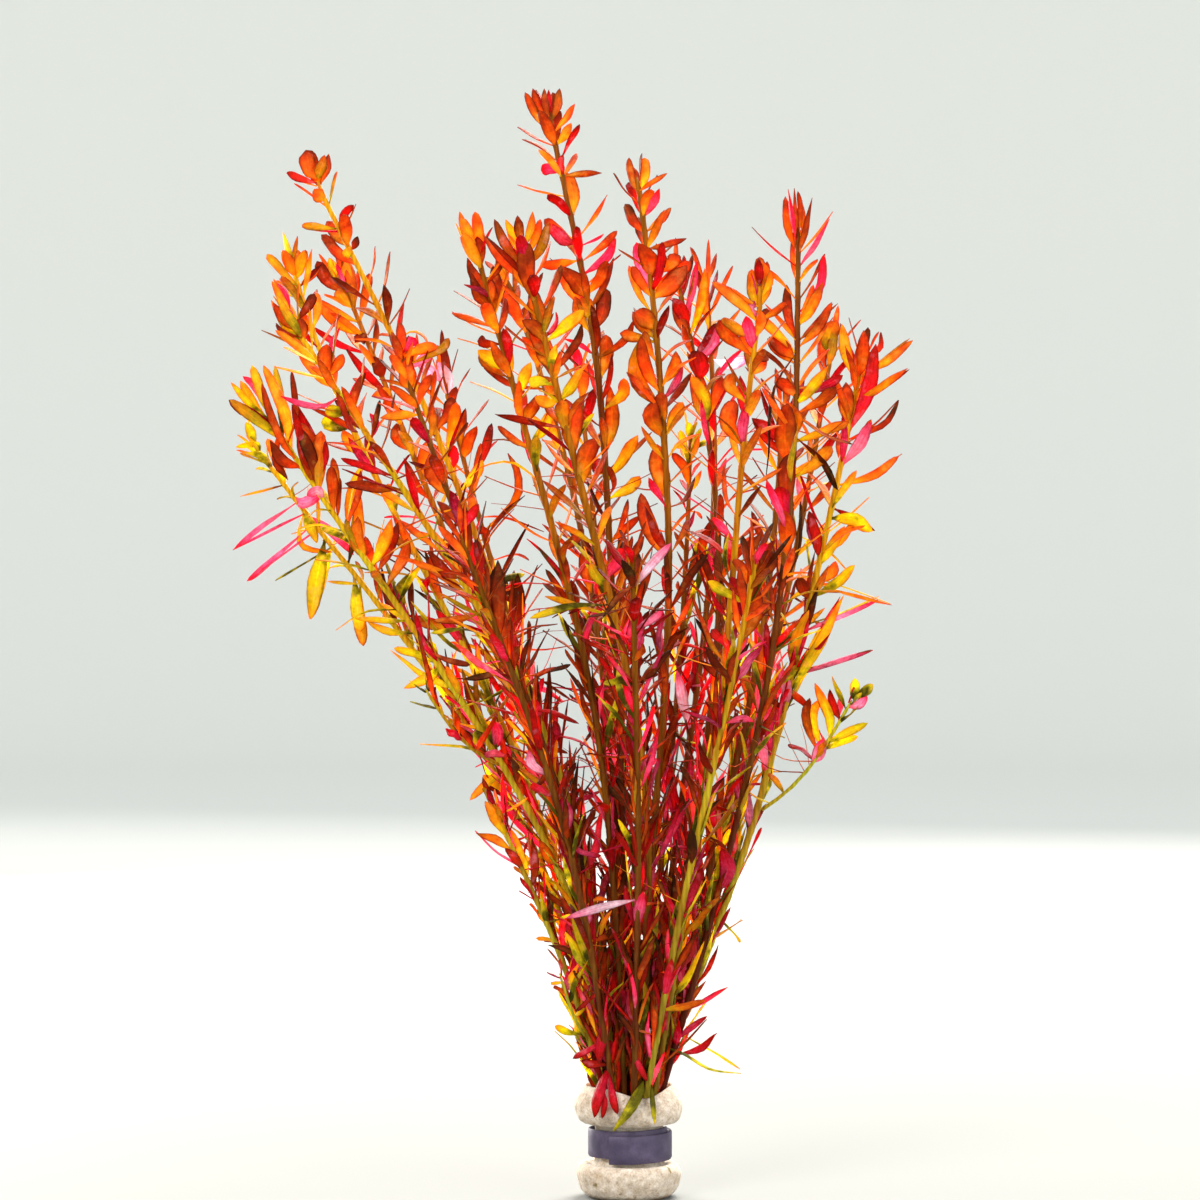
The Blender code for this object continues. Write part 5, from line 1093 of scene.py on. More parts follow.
def add_stem(growth, run, spots, tone):
    """A round stem, a little swollen at each node, closed at both ends."""
    stations = {0.0, run["length"]}
    stations.update(np.arange(0, run["length"], STEM_STEP))
    for s in spots:
        stations.update(max(0.0, s + d) for d in NODE_STATIONS)
    rows = sorted(k for k in stations if k <= run["length"])
    rows = [k for i, k in enumerate(rows) if i == 0 or k - rows[i - 1] > SHORTEST_STEP]
    rows[-1] = run["length"]
    points = []
    along = []
    around = []
    for s in rows:
        centre, _, first, second = frame_at(run, s)
        swell = sum(math.exp(-((s - spot) / NODE_REACH) ** 2) for spot in spots if abs(s - spot) < 3)
        radius = radius_at(run, s) * (0.88 + 0.16 * swell)
        if s < TIP_REACH:
            radius *= 0.35 + 0.65 * s / TIP_REACH
        for q in range(STEM_SIDES):
            points.append(np.array(centre + turned(first, second, 2 * math.pi * q / STEM_SIDES) * radius))
            along.append(1 - s / run["length"])
            around.append(q / STEM_SIDES)
    faces = ring_faces(len(rows) - 1, STEM_SIDES)
    faces.append(tuple(range(STEM_SIDES)))
    faces.append(tuple(range((len(rows) - 1) * STEM_SIDES, len(rows) * STEM_SIDES))[::-1])
    growth.add(points, faces, [BARK] * len(faces), along, around, tone)


def blade_line(run, leaf):
    """A leaf's line of points from foot to tip, and the direction across its blade."""
    corners = leaf_corners(run, leaf["s"], leaf["face"], leaf["middle"], leaf["tip"], leaf["width"])
    foot = sum((Vector(c) for c in corners[:4]), Vector()) / 4
    blade = np.array(corners[5] - corners[4])
    blade /= np.linalg.norm(blade)
    line = smooth_line([foot, leaf["middle"], leaf["tip"]], BLADE_STATIONS)
    if leaf.get("faced"):
        ahead = (leaf["tip"] - foot).normalized()
        facing = np.array(ahead.cross(sight_at(foot)).normalized())
        if facing.dot(blade) < 0:
            facing = -facing
        blade = facing * FACING_SHARE + blade * OWN_WAY_SHARE
        blade /= np.linalg.norm(blade)
    return line, blade


# How the bunch's colour drifts: x, z, reach, tone from olive 0 through gold, orange and red to brown 1
TONE_AREAS = (
    (-94, 210, 9, 0.22), (-97, 190, 12, 0.12), (-80, 194, 9, 0.58), (-83, 268, 10, 0.58),
    (-72, 246, 14, 0.52), (-88, 242, 8, 0.44), (-62, 212, 14, 0.56), (-50, 192, 14, 0.58),
    (-76, 166, 16, 0.16), (-62, 148, 14, 0.15), (-48, 136, 12, 0.2), (-36, 158, 16, 0.7),
    (-22, 280, 12, 0.6), (-12, 252, 12, 0.64), (-40, 250, 10, 0.4), (-36, 236, 8, 0.62),
    (-24, 244, 10, 0.44), (-24, 226, 10, 0.6), (-20, 208, 10, 0.36), (-6, 216, 14, 0.55),
    (4, 262, 12, 0.52), (8, 240, 10, 0.62), (14, 198, 10, 0.3), (20, 224, 12, 0.62), (34, 236, 8, 0.42),
    (44, 244, 10, 0.58), (44, 210, 16, 0.62), (56, 216, 12, 0.46), (64, 206, 10, 0.54),
    (60, 170, 16, 0.2), (52, 146, 16, 0.17), (57, 126, 10, 0.14), (34, 166, 16, 0.62),
    (10, 172, 20, 0.64), (-16, 172, 16, 0.56), (0, 140, 24, 0.8), (28, 142, 14, 0.74),
    (-24, 118, 16, 0.8), (22, 112, 18, 0.76), (-40, 106, 12, 0.2), (-32, 84, 10, 0.18),
    (0, 92, 24, 0.86), (30, 92, 10, 0.48), (-8, 60, 12, 0.74), (8, 60, 14, 0.9), (18, 54, 6, 0.4),
    (-12, 42, 6, 0.4), (4, 38, 10, 0.88), (-82, 158, 7, 0.18), (-70, 150, 6, 0.12), (46, 190, 12, 0.34),
    (58, 182, 10, 0.28), (64, 162, 10, 0.15), (48, 128, 10, 0.24), (-44, 122, 10, 0.26),
)
# Where leaves are pink whatever their stem: x, z, reach, blush
PINK_PLACES = ((-96, 173, 5, 0.95), (-92, 165, 5, 0.95), (-93, 203, 2.5, 0.7), (-84, 196, 3, 0.42))
# Shares of red and of pink leaves: high up, low down and on the gold stems at the left edge
GOLD_EDGE = -76.0
HIGH_SHARES = (0.16, 0.05)
LOW_SHARES = (0.22, 0.20)
GOLD_EDGE_SHARES = (0.08, 0.03)
PINK_BLUSHES = (0.6, 1.05)
RED_BLUSHES = (0.22, 0.56)
# Old leaves: the share up to which each span of tones is taken, so a few are olive and most are brown
OLD_TONES = ((0.22, (0.0, 0.08)), (0.34, (0.28, 0.50)), (1.0, (0.66, 0.92)))
OUTER_PART = 0.60
OUTER_YELLOW_SHARE = 0.6
YELLOW_TONES = (0.04, 0.34)
TONE_SPREAD = 0.07
ODD_SHARE = 0.16
ODD_STEPS = (-0.22, -0.16, 0.14, 0.18)
LIGHTS = (-0.32, 0.36)
OLD_LIGHTS = (-0.30, 0.80)
PICKED_LIGHTS = (-0.14, 0.26)
BASE_TONES = {"gold": 0.30, "orange": 0.50, "red": 0.62, "crimson": 0.70, "green": 0.16}
OWN_TONE_SHARE = 0.35
PLAIN_BARK_TONE = 0.56
# The light gold and green tones of the stems along the outer edges (stem_03, stem_05, stem_14, stem_26,
# side_shoot_01) are partly their own colour and partly painted rim light
BARK_TONES = {
    "stem_01": 0.30, "stem_02": 0.20, "stem_03": 0.24, "stem_04": 0.44, "stem_05": 0.16, "stem_06": 0.24,
    "stem_07": 0.52, "stem_08": 0.46, "stem_09": 0.66, "stem_10": 0.54, "stem_11": 0.60, "stem_12": 0.38,
    "stem_13": 0.66, "stem_14": 0.26, "stem_16": 0.64, "stem_17": 0.50, "stem_24": 0.30, "stem_26": 0.26,
    "side_shoot_01": 0.10, "side_shoot_02": 0.24, "side_shoot_03": 0.12,
}


def area_tone(x, z, own):
    """The colour that the bunch has round (x, z), with a share of the stem's own."""
    total = OWN_TONE_SHARE * own
    weight = OWN_TONE_SHARE
    for ax, az, reach, tone in TONE_AREAS:
        near = math.exp(-((x - ax) ** 2 + (z - az) ** 2) / reach ** 2)
        total += near * tone
        weight += near
    return total / weight


def leaf_tone(name, leaf, chance):
    """Where a leaf's colour lies between olive, gold, orange, red and brown: 0 to 1."""
    middle = leaf["middle"]
    outer = middle.z < CROWDED_HEIGHT and abs(middle.x) > OUTER_PART * bunch_edge(middle.z)
    if outer and chance.random() < OUTER_YELLOW_SHARE:
        return chance.uniform(*YELLOW_TONES)
    if leaf.get("old"):
        share = chance.random()
        for most, tones in OLD_TONES:
            if share < most:
                return chance.uniform(*tones)
    tone = area_tone(middle.x, middle.z, BASE_TONES[TONES.get(name, "orange")])
    tone += chance.gauss(0, TONE_SPREAD)
    if chance.random() < ODD_SHARE:
        tone += chance.choice(ODD_STEPS)
    return min(max(tone, 0.02), 1.0)


def leaf_blush(leaf, chance):
    """How red or pink a leaf is, by its place and by chance. Most are neither."""
    middle = leaf["middle"]
    for x, z, reach, blush in PINK_PLACES:
        if math.hypot(middle.x - x, middle.z - z) < reach:
            return blush
    red, pink = HIGH_SHARES if middle.z > CROWDED_HEIGHT else LOW_SHARES
    if middle.x < GOLD_EDGE:
        red, pink = GOLD_EDGE_SHARES
    pick = chance.random()
    if pick < pink:
        return chance.uniform(*PINK_BLUSHES)
    if pick < pink + red:
        return chance.uniform(*RED_BLUSHES)
    return 0.0


def leaf_light(leaf, chance):
    """How much lighter or darker than its neighbours a leaf is: old low ones differ the most."""
    return chance.uniform(*(OLD_LIGHTS if leaf.get("old") else LIGHTS))


def from_photo(px, py):
    """A pixel of the photograph as (x, z) on the middle plane."""
    return (px - PHOTO_AXIS_X) * MM_A_PIXEL, (PHOTO_GROUND_Y - py) * MM_A_PIXEL


def apparent(points):
    """Points as they line up, from the front, on the middle plane."""
    scale = 1 + points[:, 1:2] / SIGHT_DISTANCE
    eye = np.array((SIGHT_X, SIGHT_HEIGHT))
    return eye + (points[:, (0, 2)] - eye) / scale


def bearer(tracks, x, z):
    """The stem that a leaf seen at (x, z) grows from: the front one of those that pass close by."""
    best = None
    for name, (flat, solid, along) in tracks.items():
        gaps = np.hypot(flat[:, 0] - x, flat[:, 1] - z)
        k = int(np.argmin(gaps))
        cost = max(gaps[k] - NEAR_STEM, 0.0) * GAP_COST + solid[k, 1] * DEPTH_COST
        if best is None or cost < best[0]:
            best = (cost, name, float(along[k]))
    return best[1], best[2]


def place_picked(runs):
    """The leaves read off the photograph, each on the stem that passes its foot."""
    chance = random.Random(PICKED_SEED)
    tracks = {}
    for name, run in runs.items():
        hidden = HIDDEN_FOOT if run["length"] > 2 * HIDDEN_FOOT else 0
        along = np.arange(0, run["length"] - hidden, TRACK_STEP)
        solid = np.array([point_at(run, s) for s in along])
        tracks[name] = (apparent(solid), solid, along)
    found = {name: [] for name in runs}
    for width, tone, blush, *pixels in PICKED_LEAVES:
        width, tone, blush = width / 10, tone / 100, blush / 100
        flat = [from_photo(*p) for p in zip(pixels[::2], pixels[1::2])]
        if width > NARROW and flat[0][1] < CROWDED_HEIGHT:
            width *= LOW_SLIM
        name, s = bearer(tracks, *flat[0])
        run = runs[name]
        centre = point_at(run, s)
        span = math.dist(flat[0], flat[-1])
        reach = chance.uniform(-0.40, 0.05) * span
        line = []
        for k, (x, z) in enumerate(flat):
            share = k / (len(flat) - 1)
            line.append(seen(x, z, centre.y - 0.8 * run["radius"] + reach * share))
        toward = (line[1] - centre).normalized()
        line[0] = centre + toward * radius_at(run, s) * 0.7
        ahead = (line[-1] - line[0]).normalized()
        sight = sight_at(line[0])
        if width < NARROW:
            turn = math.acos(min(width / EDGE_ON_WIDTH, 1.0)) * chance.choice((-1, 1))
            width = EDGE_ON_WIDTH if width > 1.35 else 1.7
        else:
            turn = chance.uniform(-0.35, 0.35)
        blade = turned(ahead.cross(sight).normalized(), sight, turn)
        found[name].append((smooth_line(line, BLADE_STATIONS), np.array(blade), width, tone, blush))
    return found


def fill_leaves(room, runs):
    """The other pairs, on every node that has room, then narrow old leaves all along the low stems."""
    chance = random.Random(FILL_SEED)
    for run in runs.values():
        for index, s in enumerate(node_distances(run)):
            if s > BARE_TOPS.get(run["name"], 0):
                fill_pair(room, run, index, s, chance)
    for run in runs.values():
        for s in np.arange(4.0, run["length"], OLD_LEAF_GAP):
            height = point_at(run, s).z
            if LOWEST_OLD_LEAF < height < CROWDED_HEIGHT + 12 and chance.random() < OLD_LEAF_SHARE:
                add_old_leaf(room, run, float(s), chance)


def bunch_edge(z):
    """How far out the outer stems stand at height z."""
    return float(np.interp(z, BUNCH_HEIGHTS, BUNCH_REACHES))


def astray(point):
    """How far a point stands out past the outer stems."""
    return math.hypot(point[0], point[1]) - bunch_edge(point[2])


def add_old_leaf(room, run, s, chance):
    """A narrow uneven leaf that mostly stands up beside its stem, or hangs."""
    for attempt in range(FILL_TRIES):
        face = chance.randrange(4)
        centre, up, _, _ = frame_at(run, s)
        out = face_direction(run, s, face)
        if out.y < -0.5 and chance.random() < NEAR_SIDE_BARE:
            continue
        side = up.cross(out)
        aside = turned(out, side, math.radians(chance.uniform(-45, 45)))
        length = chance.uniform(*OLD_LENGTHS) * (1 - 0.05 * attempt)
        width = chance.uniform(*OLD_WIDTHS)
        angle = math.radians(chance.uniform(*OLD_LEANS))
        if chance.random() < HANGING_SHARE:
            angle = math.radians(chance.uniform(*HANGING_LEANS))
            length *= 0.7
        way = turned(up, aside, angle)
        start = centre + out * radius_at(run, s) * ROOT_DEPTH
        bend = (up * chance.uniform(-0.2, 0.2) + side * chance.uniform(-0.25, 0.25)) * length
        middle = start + way * length * LEAF_MIDDLE
        tip = start + way * length + bend
        corners = leaf_corners(run, s, face, middle, tip, width, TEST_MARGIN)
        sunk = any(c.z < FAN_HEIGHT + 2 and math.hypot(c.x, c.y) > bore_radius(c.z) - 0.5 for c in corners)
        if astray(tip) > STRAY or sunk:
            continue
        # Behind the middle plane the last try is kept even where it meets another stem.
        behind = middle.y > 1.0 and attempt == FILL_TRIES - 1
        if inside_box(corners) and (behind or room.free(run["name"], corners, True)):
            faced = chance.random() < OLD_FACED_SHARE
            room.leaves[run["name"]].append({"s": s, "face": face, "middle": middle, "tip": tip,
                                             "width": width, "faced": faced, "old": True})
            return


def fill_pair(room, run, index, s, chance):
    """A pair on a node that the solids leave bare, here and there bent far out."""
    for face in ((index % 2), (index % 2) + 2):
        if face not in room.bare_sides(run["name"], s):
            continue
        centre, up, _, _ = frame_at(run, s)
        wild = centre.z < WILD_HEIGHT and chance.random() < WILD_SHARE
        low = centre.z < CROWDED_HEIGHT
        out = face_direction(run, s, face)
        if low and out.y < -0.5 and chance.random() < NEAR_SIDE_BARE:
            continue
        for attempt in range(FILL_TRIES):
            length, width, lean = leaf_size(run, s, centre.z, chance)
            side = up.cross(out)
            aside = turned(out, side, math.radians(chance.uniform(-25, 25)))
            length *= 1 - 0.04 * attempt
            angle = math.radians(max(6, lean - 3 * attempt + chance.uniform(-6, 10)))
            if wild:
                angle = math.radians(chance.uniform(45, 110))
                width *= 0.65
            elif low:
                width *= chance.uniform(0.45, 0.85)
            else:
                width *= chance.uniform(0.75, 1.0)
            way = turned(up, aside, angle)
            start = centre + out * radius_at(run, s) * ROOT_DEPTH
            middle = start + way * length * LEAF_MIDDLE
            slack = 0.34 if wild else 0.16
            bend = up * chance.uniform(-slack, slack) * length
            bend = bend + side * chance.uniform(-slack, slack) * length
            bend += Vector((0, 0, chance.uniform(-0.12, 0.04) * length))
            tip = start + way * length + bend
            corners = leaf_corners(run, s, face, middle, tip, width, TEST_MARGIN)
            if low and astray(tip) > 2 * STRAY:
                continue
            if not clear_of_foam(corners) or not inside_box(corners):
                continue
            if not room.free(run["name"], corners, low):
                continue
            room.add(corners)
            leaf = {"s": s, "face": face, "middle": middle, "tip": tip, "width": width}
            room.grow(run["name"], leaf)
            break


def threads_of(run, chance):
    """Fine roots that wander off a stem, mostly across the gaps: line, radius, tone, blush."""
    found = []
    low, high = THREAD_HEIGHTS
    spots = [s for s in np.arange(12.0, run["length"], 2.0) if low < point_at(run, s).z < high]
    if not spots:
        return found
    for _ in range(THREADS_A_STEM):
        centre = np.array(point_at(run, chance.choice(spots)))
        heading = chance.uniform(0, 2 * math.pi)
        rise = chance.uniform(-0.35, 0.60)
        way = np.array((math.cos(heading), 0.6 * math.sin(heading), rise))
        if centre[2] < CROWDED_HEIGHT and way[0] * centre[0] > 0:
            way[0] = -way[0]
        way /= np.linalg.norm(way)
        length = chance.uniform(8, 24)
        sway = np.array((0.0, chance.uniform(-0.15, 0.15), chance.uniform(-0.22, 0.14))) * length
        points = [centre, centre + way * length * 0.5 + sway, centre + way * length]
        line = smooth_line(points, THREAD_STATIONS)
        lost = centre[2] < CROWDED_HEIGHT and astray(line[-1]) > STRAY
        if inside_box(line) and not lost:
            blush = chance.choice((0.0, 0.0, 0.22, 0.30, 0.66))
            found.append((line, chance.uniform(0.13, 0.22), chance.uniform(0.40, 0.95), blush))
    return found


def inside_box(corners):
    """Whether a leaf keeps within the solid model's box."""
    low, high = CAD_BOX
    return all(low[k] / MM - 0.5 < c[k] < high[k] / MM + 0.5 for c in corners for k in range(3))


# Nodes and finishes
COLUMN_WIDTH = 190


def linear(colour):
    """A colour given as 0 to 255 display values, as linear light."""
    return tuple(c / 255 / 12.92 if c <= 10 else ((c / 255 + 0.055) / 1.055) ** 2.4 for c in colour)


def paint(*colour):
    """A colour as a socket wants it, from 0 to 255 display values."""
    return (*linear(colour), 1.0)


class Board:
    """Adds nodes to a tree and joins them, left to right."""

    def __init__(self, tree):
        self.tree = tree
        self.column = 0

    def node(self, kind, sockets=(), **values):
        """A node with these values, whose sockets hold a plain value each or are linked to an output."""
        made = self.tree.nodes.new(kind)
        made.location = (self.column, 0)
        self.column += COLUMN_WIDTH
        for key, value in values.items():
            setattr(made, key, value)
        for key, value in dict(sockets).items():
            if isinstance(value, bpy.types.NodeSocket):
                self.tree.links.new(value, made.inputs[key])
            else:
                made.inputs[key].default_value = value
        return made

    def maths(self, operation, first, second=0.0, clamp=False):
        sockets = {0: first, 1: second}
        return self.node("ShaderNodeMath", sockets, operation=operation, use_clamp=clamp).outputs[0]

    def times(self, first, second, clamp=False):
        return self.maths("MULTIPLY", first, second, clamp)

    def plus(self, first, *others):
        for value in others:
            first = self.maths("ADD", first, value)
        return first

    def about(self, value, middle, gain, clamp=False):
        """How far a value is over a middle one, times a gain."""
        return self.times(self.maths("SUBTRACT", value, middle), gain, clamp)

    def less(self, most, value, loss):
        """What is left of the most after a loss that grows with the value, between 0 and 1."""
        return self.maths("SUBTRACT", most, self.times(value, loss), clamp=True)

    def mix(self, factor, first, second):
        sockets = {0: factor, 6: first, 7: second}
        return self.node("ShaderNodeMix", sockets, data_type="RGBA", clamp_factor=True).outputs[2]

    def ramp(self, value, stops):
        made = self.node("ShaderNodeValToRGB", {0: value})
        elements = made.color_ramp.elements
        while len(elements) < len(stops):
            elements.new(0.5)
        for element, (place, colour) in zip(elements, stops):
            element.position = place
            element.color = paint(*colour)
        return made.outputs[0]

    def noise(self, vector, scale, detail=3.0, roughness=0.55):
        sockets = {"Vector": vector, "Scale": scale, "Detail": detail, "Roughness": roughness}
        return self.node("ShaderNodeTexNoise", sockets).outputs[0]

    def attribute(self, name):
        return self.node("ShaderNodeAttribute", attribute_name=name).outputs["Fac"]

    def place(self):
        return self.node("ShaderNodeTexCoord").outputs["Object"]

    def height(self, place):
        return self.node("ShaderNodeSeparateXYZ", {0: place}).outputs["Z"]

    def group(self, tree, **sockets):
        return self.node("ShaderNodeGroup", sockets, node_tree=tree).outputs

    def skin(self, colour, roughness, relief, strength, distance, **more):
        """A plain surface with a fine relief. Other sockets are named with lines in place of spaces."""
        bump = self.node("ShaderNodeBump", {"Height": relief, "Strength": strength, "Distance": distance})
        sockets = {"Base Color": colour, "Roughness": roughness, "Normal": bump.outputs["Normal"]}
        sockets.update((name.replace("_", " "), value) for name, value in more.items())
        return self.node("ShaderNodeBsdfPrincipled", sockets)

    def finish(self, shader, colour=None, light_through=0.0):
        """Ends a material, letting a share of the light through in this colour."""
        if light_through:
            through = self.node("ShaderNodeBsdfTranslucent", {"Color": colour})
            sockets = {0: light_through, 1: shader.outputs[0], 2: through.outputs[0]}
            shader = self.node("ShaderNodeMixShader", sockets)
        self.node("ShaderNodeOutputMaterial", {"Surface": shader.outputs[0]})


def new_material(name):
    """An empty material and the board for its nodes."""
    made = bpy.data.materials.new(name)
    made.use_nodes = True
    made.node_tree.nodes.clear()
    return made, Board(made.node_tree)


def new_group(name, inputs, outputs):
    """An empty node group, its inlets and its outlets: Colour is a colour and the others are values."""
    tree = bpy.data.node_groups.new(name, "ShaderNodeTree")
    for way, labels in (("INPUT", inputs), ("OUTPUT", outputs)):
        for label in labels:
            kind = "NodeSocketColor" if label == "Colour" else "NodeSocketFloat"
            tree.interface.new_socket(label, in_out=way, socket_type=kind)
    return tree, Board(tree)


# Tones and blushes as colours, 0 to 255: place on the ramp, colour
UPPER_STOPS = (
    (0.00, (92, 88, 12)), (0.07, (162, 154, 18)), (0.14, (226, 212, 24)), (0.26, (244, 200, 24)),
    (0.40, (242, 162, 22)), (0.52, (230, 122, 18)), (0.64, (208, 84, 14)), (0.76, (172, 58, 14)),
    (0.88, (128, 50, 12)), (1.00, (70, 38, 10)),
)
UNDER_STOPS = (
    (0.00, (116, 110, 18)), (0.07, (182, 172, 28)), (0.14, (238, 224, 40)), (0.26, (248, 210, 40)),
    (0.40, (248, 174, 34)), (0.52, (238, 132, 26)), (0.64, (218, 92, 20)), (0.76, (186, 64, 16)),
    (0.88, (142, 54, 14)), (1.00, (80, 42, 12)),
)
BLUSH_STOPS = (
    (0.08, (122, 16, 6)), (0.20, (180, 20, 8)), (0.34, (214, 22, 20)), (0.46, (226, 22, 56)),
    (0.60, (238, 62, 116)), (0.72, (244, 118, 162)), (0.84, (250, 178, 206)), (0.96, (255, 234, 246)),
)
BARK_STOPS = (
    (0.00, (176, 180, 28)), (0.14, (216, 190, 16)), (0.28, (226, 164, 8)), (0.42, (188, 110, 4)),
    (0.56, (138, 84, 4)), (0.72, (112, 50, 2)), (0.86, (84, 32, 2)), (1.00, (52, 18, 2)),
)
LOW_BARK_STOPS = (
    (0.08, (196, 200, 60)), (0.26, (168, 156, 44)), (0.40, (124, 100, 24)), (0.52, (104, 52, 16)),
    (0.70, (84, 22, 16)), (0.90, (58, 14, 14)),
)
# The foam's own cream, painted darker in the hollows of its cells and paler on their rims: painted shade
# and highlight at the scale of the cells
FOAM_CELL_PAINTED_SHADE_STOPS = (
    (0.34, (158, 138, 118)), (0.44, (196, 178, 158)), (0.53, (216, 201, 184)), (0.64, (236, 226, 214)),
)
LEAD_STOPS = ((0.36, (62, 53, 78)), (0.50, (72, 62, 88)), (0.62, (86, 75, 102)))

# How far the painted sheen, a painted highlight, pales a leaf, and how much less it does on a dark one
PAINTED_SHEEN_SHARE = 0.62
PAINTED_SHEEN_LOSS = 0.50
# Heights in metres between which the stems' skin turns dull, from above
DULL_BARK_FROM = 0.18
DULL_BARK_TO = 0.05


def blade_group():
    """Midrib, slow clouds and margins of a leaf: it gives the tone, the darkening and the relief."""
    results = ("Tone", "Shade", "Spots", "PaintedSheen", "Streaks", "Relief", "Roughness")
    tree, board = new_group("leaf_surface", ("Tone", "Run", "Across"), results)
    given = board.node("NodeGroupInput").outputs
    place = board.place()
    broad = board.noise(place, 120, 2.0)
    patch = board.noise(place, 380, 2.0)
    fine = board.noise(place, 900, 3.0)
    centre = board.maths("ABSOLUTE", given["Across"])
    edge = board.maths("POWER", centre, 4.0)
    clouds = board.plus(board.about(broad, 0.5, 0.42), board.about(patch, 0.5, 0.40))
    tone = board.plus(given["Tone"], clouds, board.about(given["Run"], 0.55, 0.34))
    tone = board.maths("ADD", tone, board.times(edge, 0.10), clamp=True)
    rib = board.less(1.0, centre, 7.0)
    veins = board.maths("SINE", board.plus(board.times(given["Run"], 44.0), board.times(centre, 12.0)))
    shade = board.plus(board.times(rib, 0.22), board.times(veins, 0.03), board.times(edge, -0.22),
                       board.about(fine, 0.5, 0.70), board.about(broad, 0.5, 1.00))
    cells = board.node("ShaderNodeTexVoronoi", {"Vector": place, "Scale": 300}).outputs["Distance"]
    spots = board.times(board.less(1.0, cells, 6.0), board.maths("GREATER_THAN", broad, 0.60))
    # Painted sheen: pale patches where a noise runs high, kept off the margins, painted in as highlights
    bright = board.about(board.noise(place, 300, 3.0, 0.6), 0.56, 7.0, clamp=True)
    painted_sheen = board.times(bright, board.maths("SUBTRACT", 1.0, edge), clamp=True)
    stripes = board.maths("SINE", board.times(given["Across"], 11.0))
    streaks = board.plus(board.times(fine, 0.8), board.times(stripes, 0.12))
    relief = board.plus(board.times(veins, 0.25), board.times(fine, 0.5))
    rough = board.plus(0.36, board.times(fine, 0.30))
    board.node("NodeGroupOutput", dict(zip(results, (tone, shade, spots, painted_sheen, streaks, relief, rough))))
    return tree


def shade_group():
    """Lightens or darkens a colour by a value round 0."""
    tree, board = new_group("lighten_or_darken", ("Colour", "Shade"), ("Colour",))
    given = board.node("NodeGroupInput").outputs
    bright = board.plus(1.0, given["Shade"])
    scaled = board.node("ShaderNodeVectorMath", {0: given["Colour"], "Scale": bright}, operation="SCALE")
    board.node("NodeGroupOutput", {"Colour": scaled.outputs[0]})
    return tree


def leaf_material(name, surface, shading, stops, blush_share, light_through):
    """One face of a leaf: its tone, its blush, its spots and its painted sheen, a painted highlight."""
    made, board = new_material(name)
    run = board.attribute("run")
    leaf = board.group(surface, Tone=board.attribute("tone"), Run=run, Across=board.attribute("across"))
    blush = board.attribute("blush")
    off_middle = board.maths("POWER", board.maths("ABSOLUTE", board.maths("SUBTRACT", run, 0.42)), 2.0)
    streaked = board.plus(board.times(blush, 0.70), board.about(leaf["Streaks"], 0.4, 0.24), 0.03,
                          board.times(off_middle, -0.8))
    part = board.about(blush, 0.12, 4.0, clamp=True)
    colour = board.mix(board.times(part, blush_share), board.ramp(leaf["Tone"], stops),
                       board.ramp(streaked, BLUSH_STOPS))
    shade = board.plus(leaf["Shade"], board.attribute("light"))
    colour = board.group(shading, Colour=colour, Shade=shade)["Colour"]
    colour = board.mix(board.times(leaf["Spots"], 0.5), colour, paint(84, 26, 10))
    # The painted highlight's colour: pale gold, or pale pink on blushed leaves
    pale = board.mix(part, paint(255, 206, 96), paint(255, 186, 206))
    painted_sheen = board.times(leaf["PaintedSheen"], board.less(PAINTED_SHEEN_SHARE, leaf["Tone"], PAINTED_SHEEN_LOSS))
    colour = board.mix(painted_sheen, colour, pale)
    shader = board.skin(colour, leaf["Roughness"], leaf["Relief"], 0.35, 0.0002, Specular_IOR_Level=0.16)
    board.finish(shader, colour, light_through)
    return made


def bark_material(shading):
    """Striped skin in the stem's own tone, duller low down."""
    made, board = new_material("stem_skin")
    place = board.place()
    fine = board.noise(place, 700, 4.0)
    clouds = board.about(board.noise(place, 70, 2.0), 0.5, 0.5)
    tone = board.maths("ADD", board.attribute("tone"), clouds, clamp=True)
    span = {"Value": board.height(place), "From Min": DULL_BARK_FROM, "From Max": DULL_BARK_TO}
    low = board.node("ShaderNodeMapRange", span).outputs[0]
    colour = board.ramp(tone, BARK_STOPS)
    colour = board.mix(board.times(low, 0.90), colour, board.ramp(tone, LOW_BARK_STOPS))
    stripes = board.node("ShaderNodeTexWave", {"Vector": place, "Scale": 260, "Distortion": 3.0},
                         wave_type="BANDS", bands_direction="X")
    shade = board.maths("SUBTRACT", board.times(stripes.outputs["Fac"], 0.34), 0.18)
    colour = board.group(shading, Colour=colour, Shade=shade)["Colour"]
    rough = board.plus(0.32, board.times(fine, 0.3))
    shader = board.skin(colour, rough, fine, 0.3, 0.0002, Specular_IOR_Level=0.12)
    board.finish(shader, colour, 0.15)
    return made


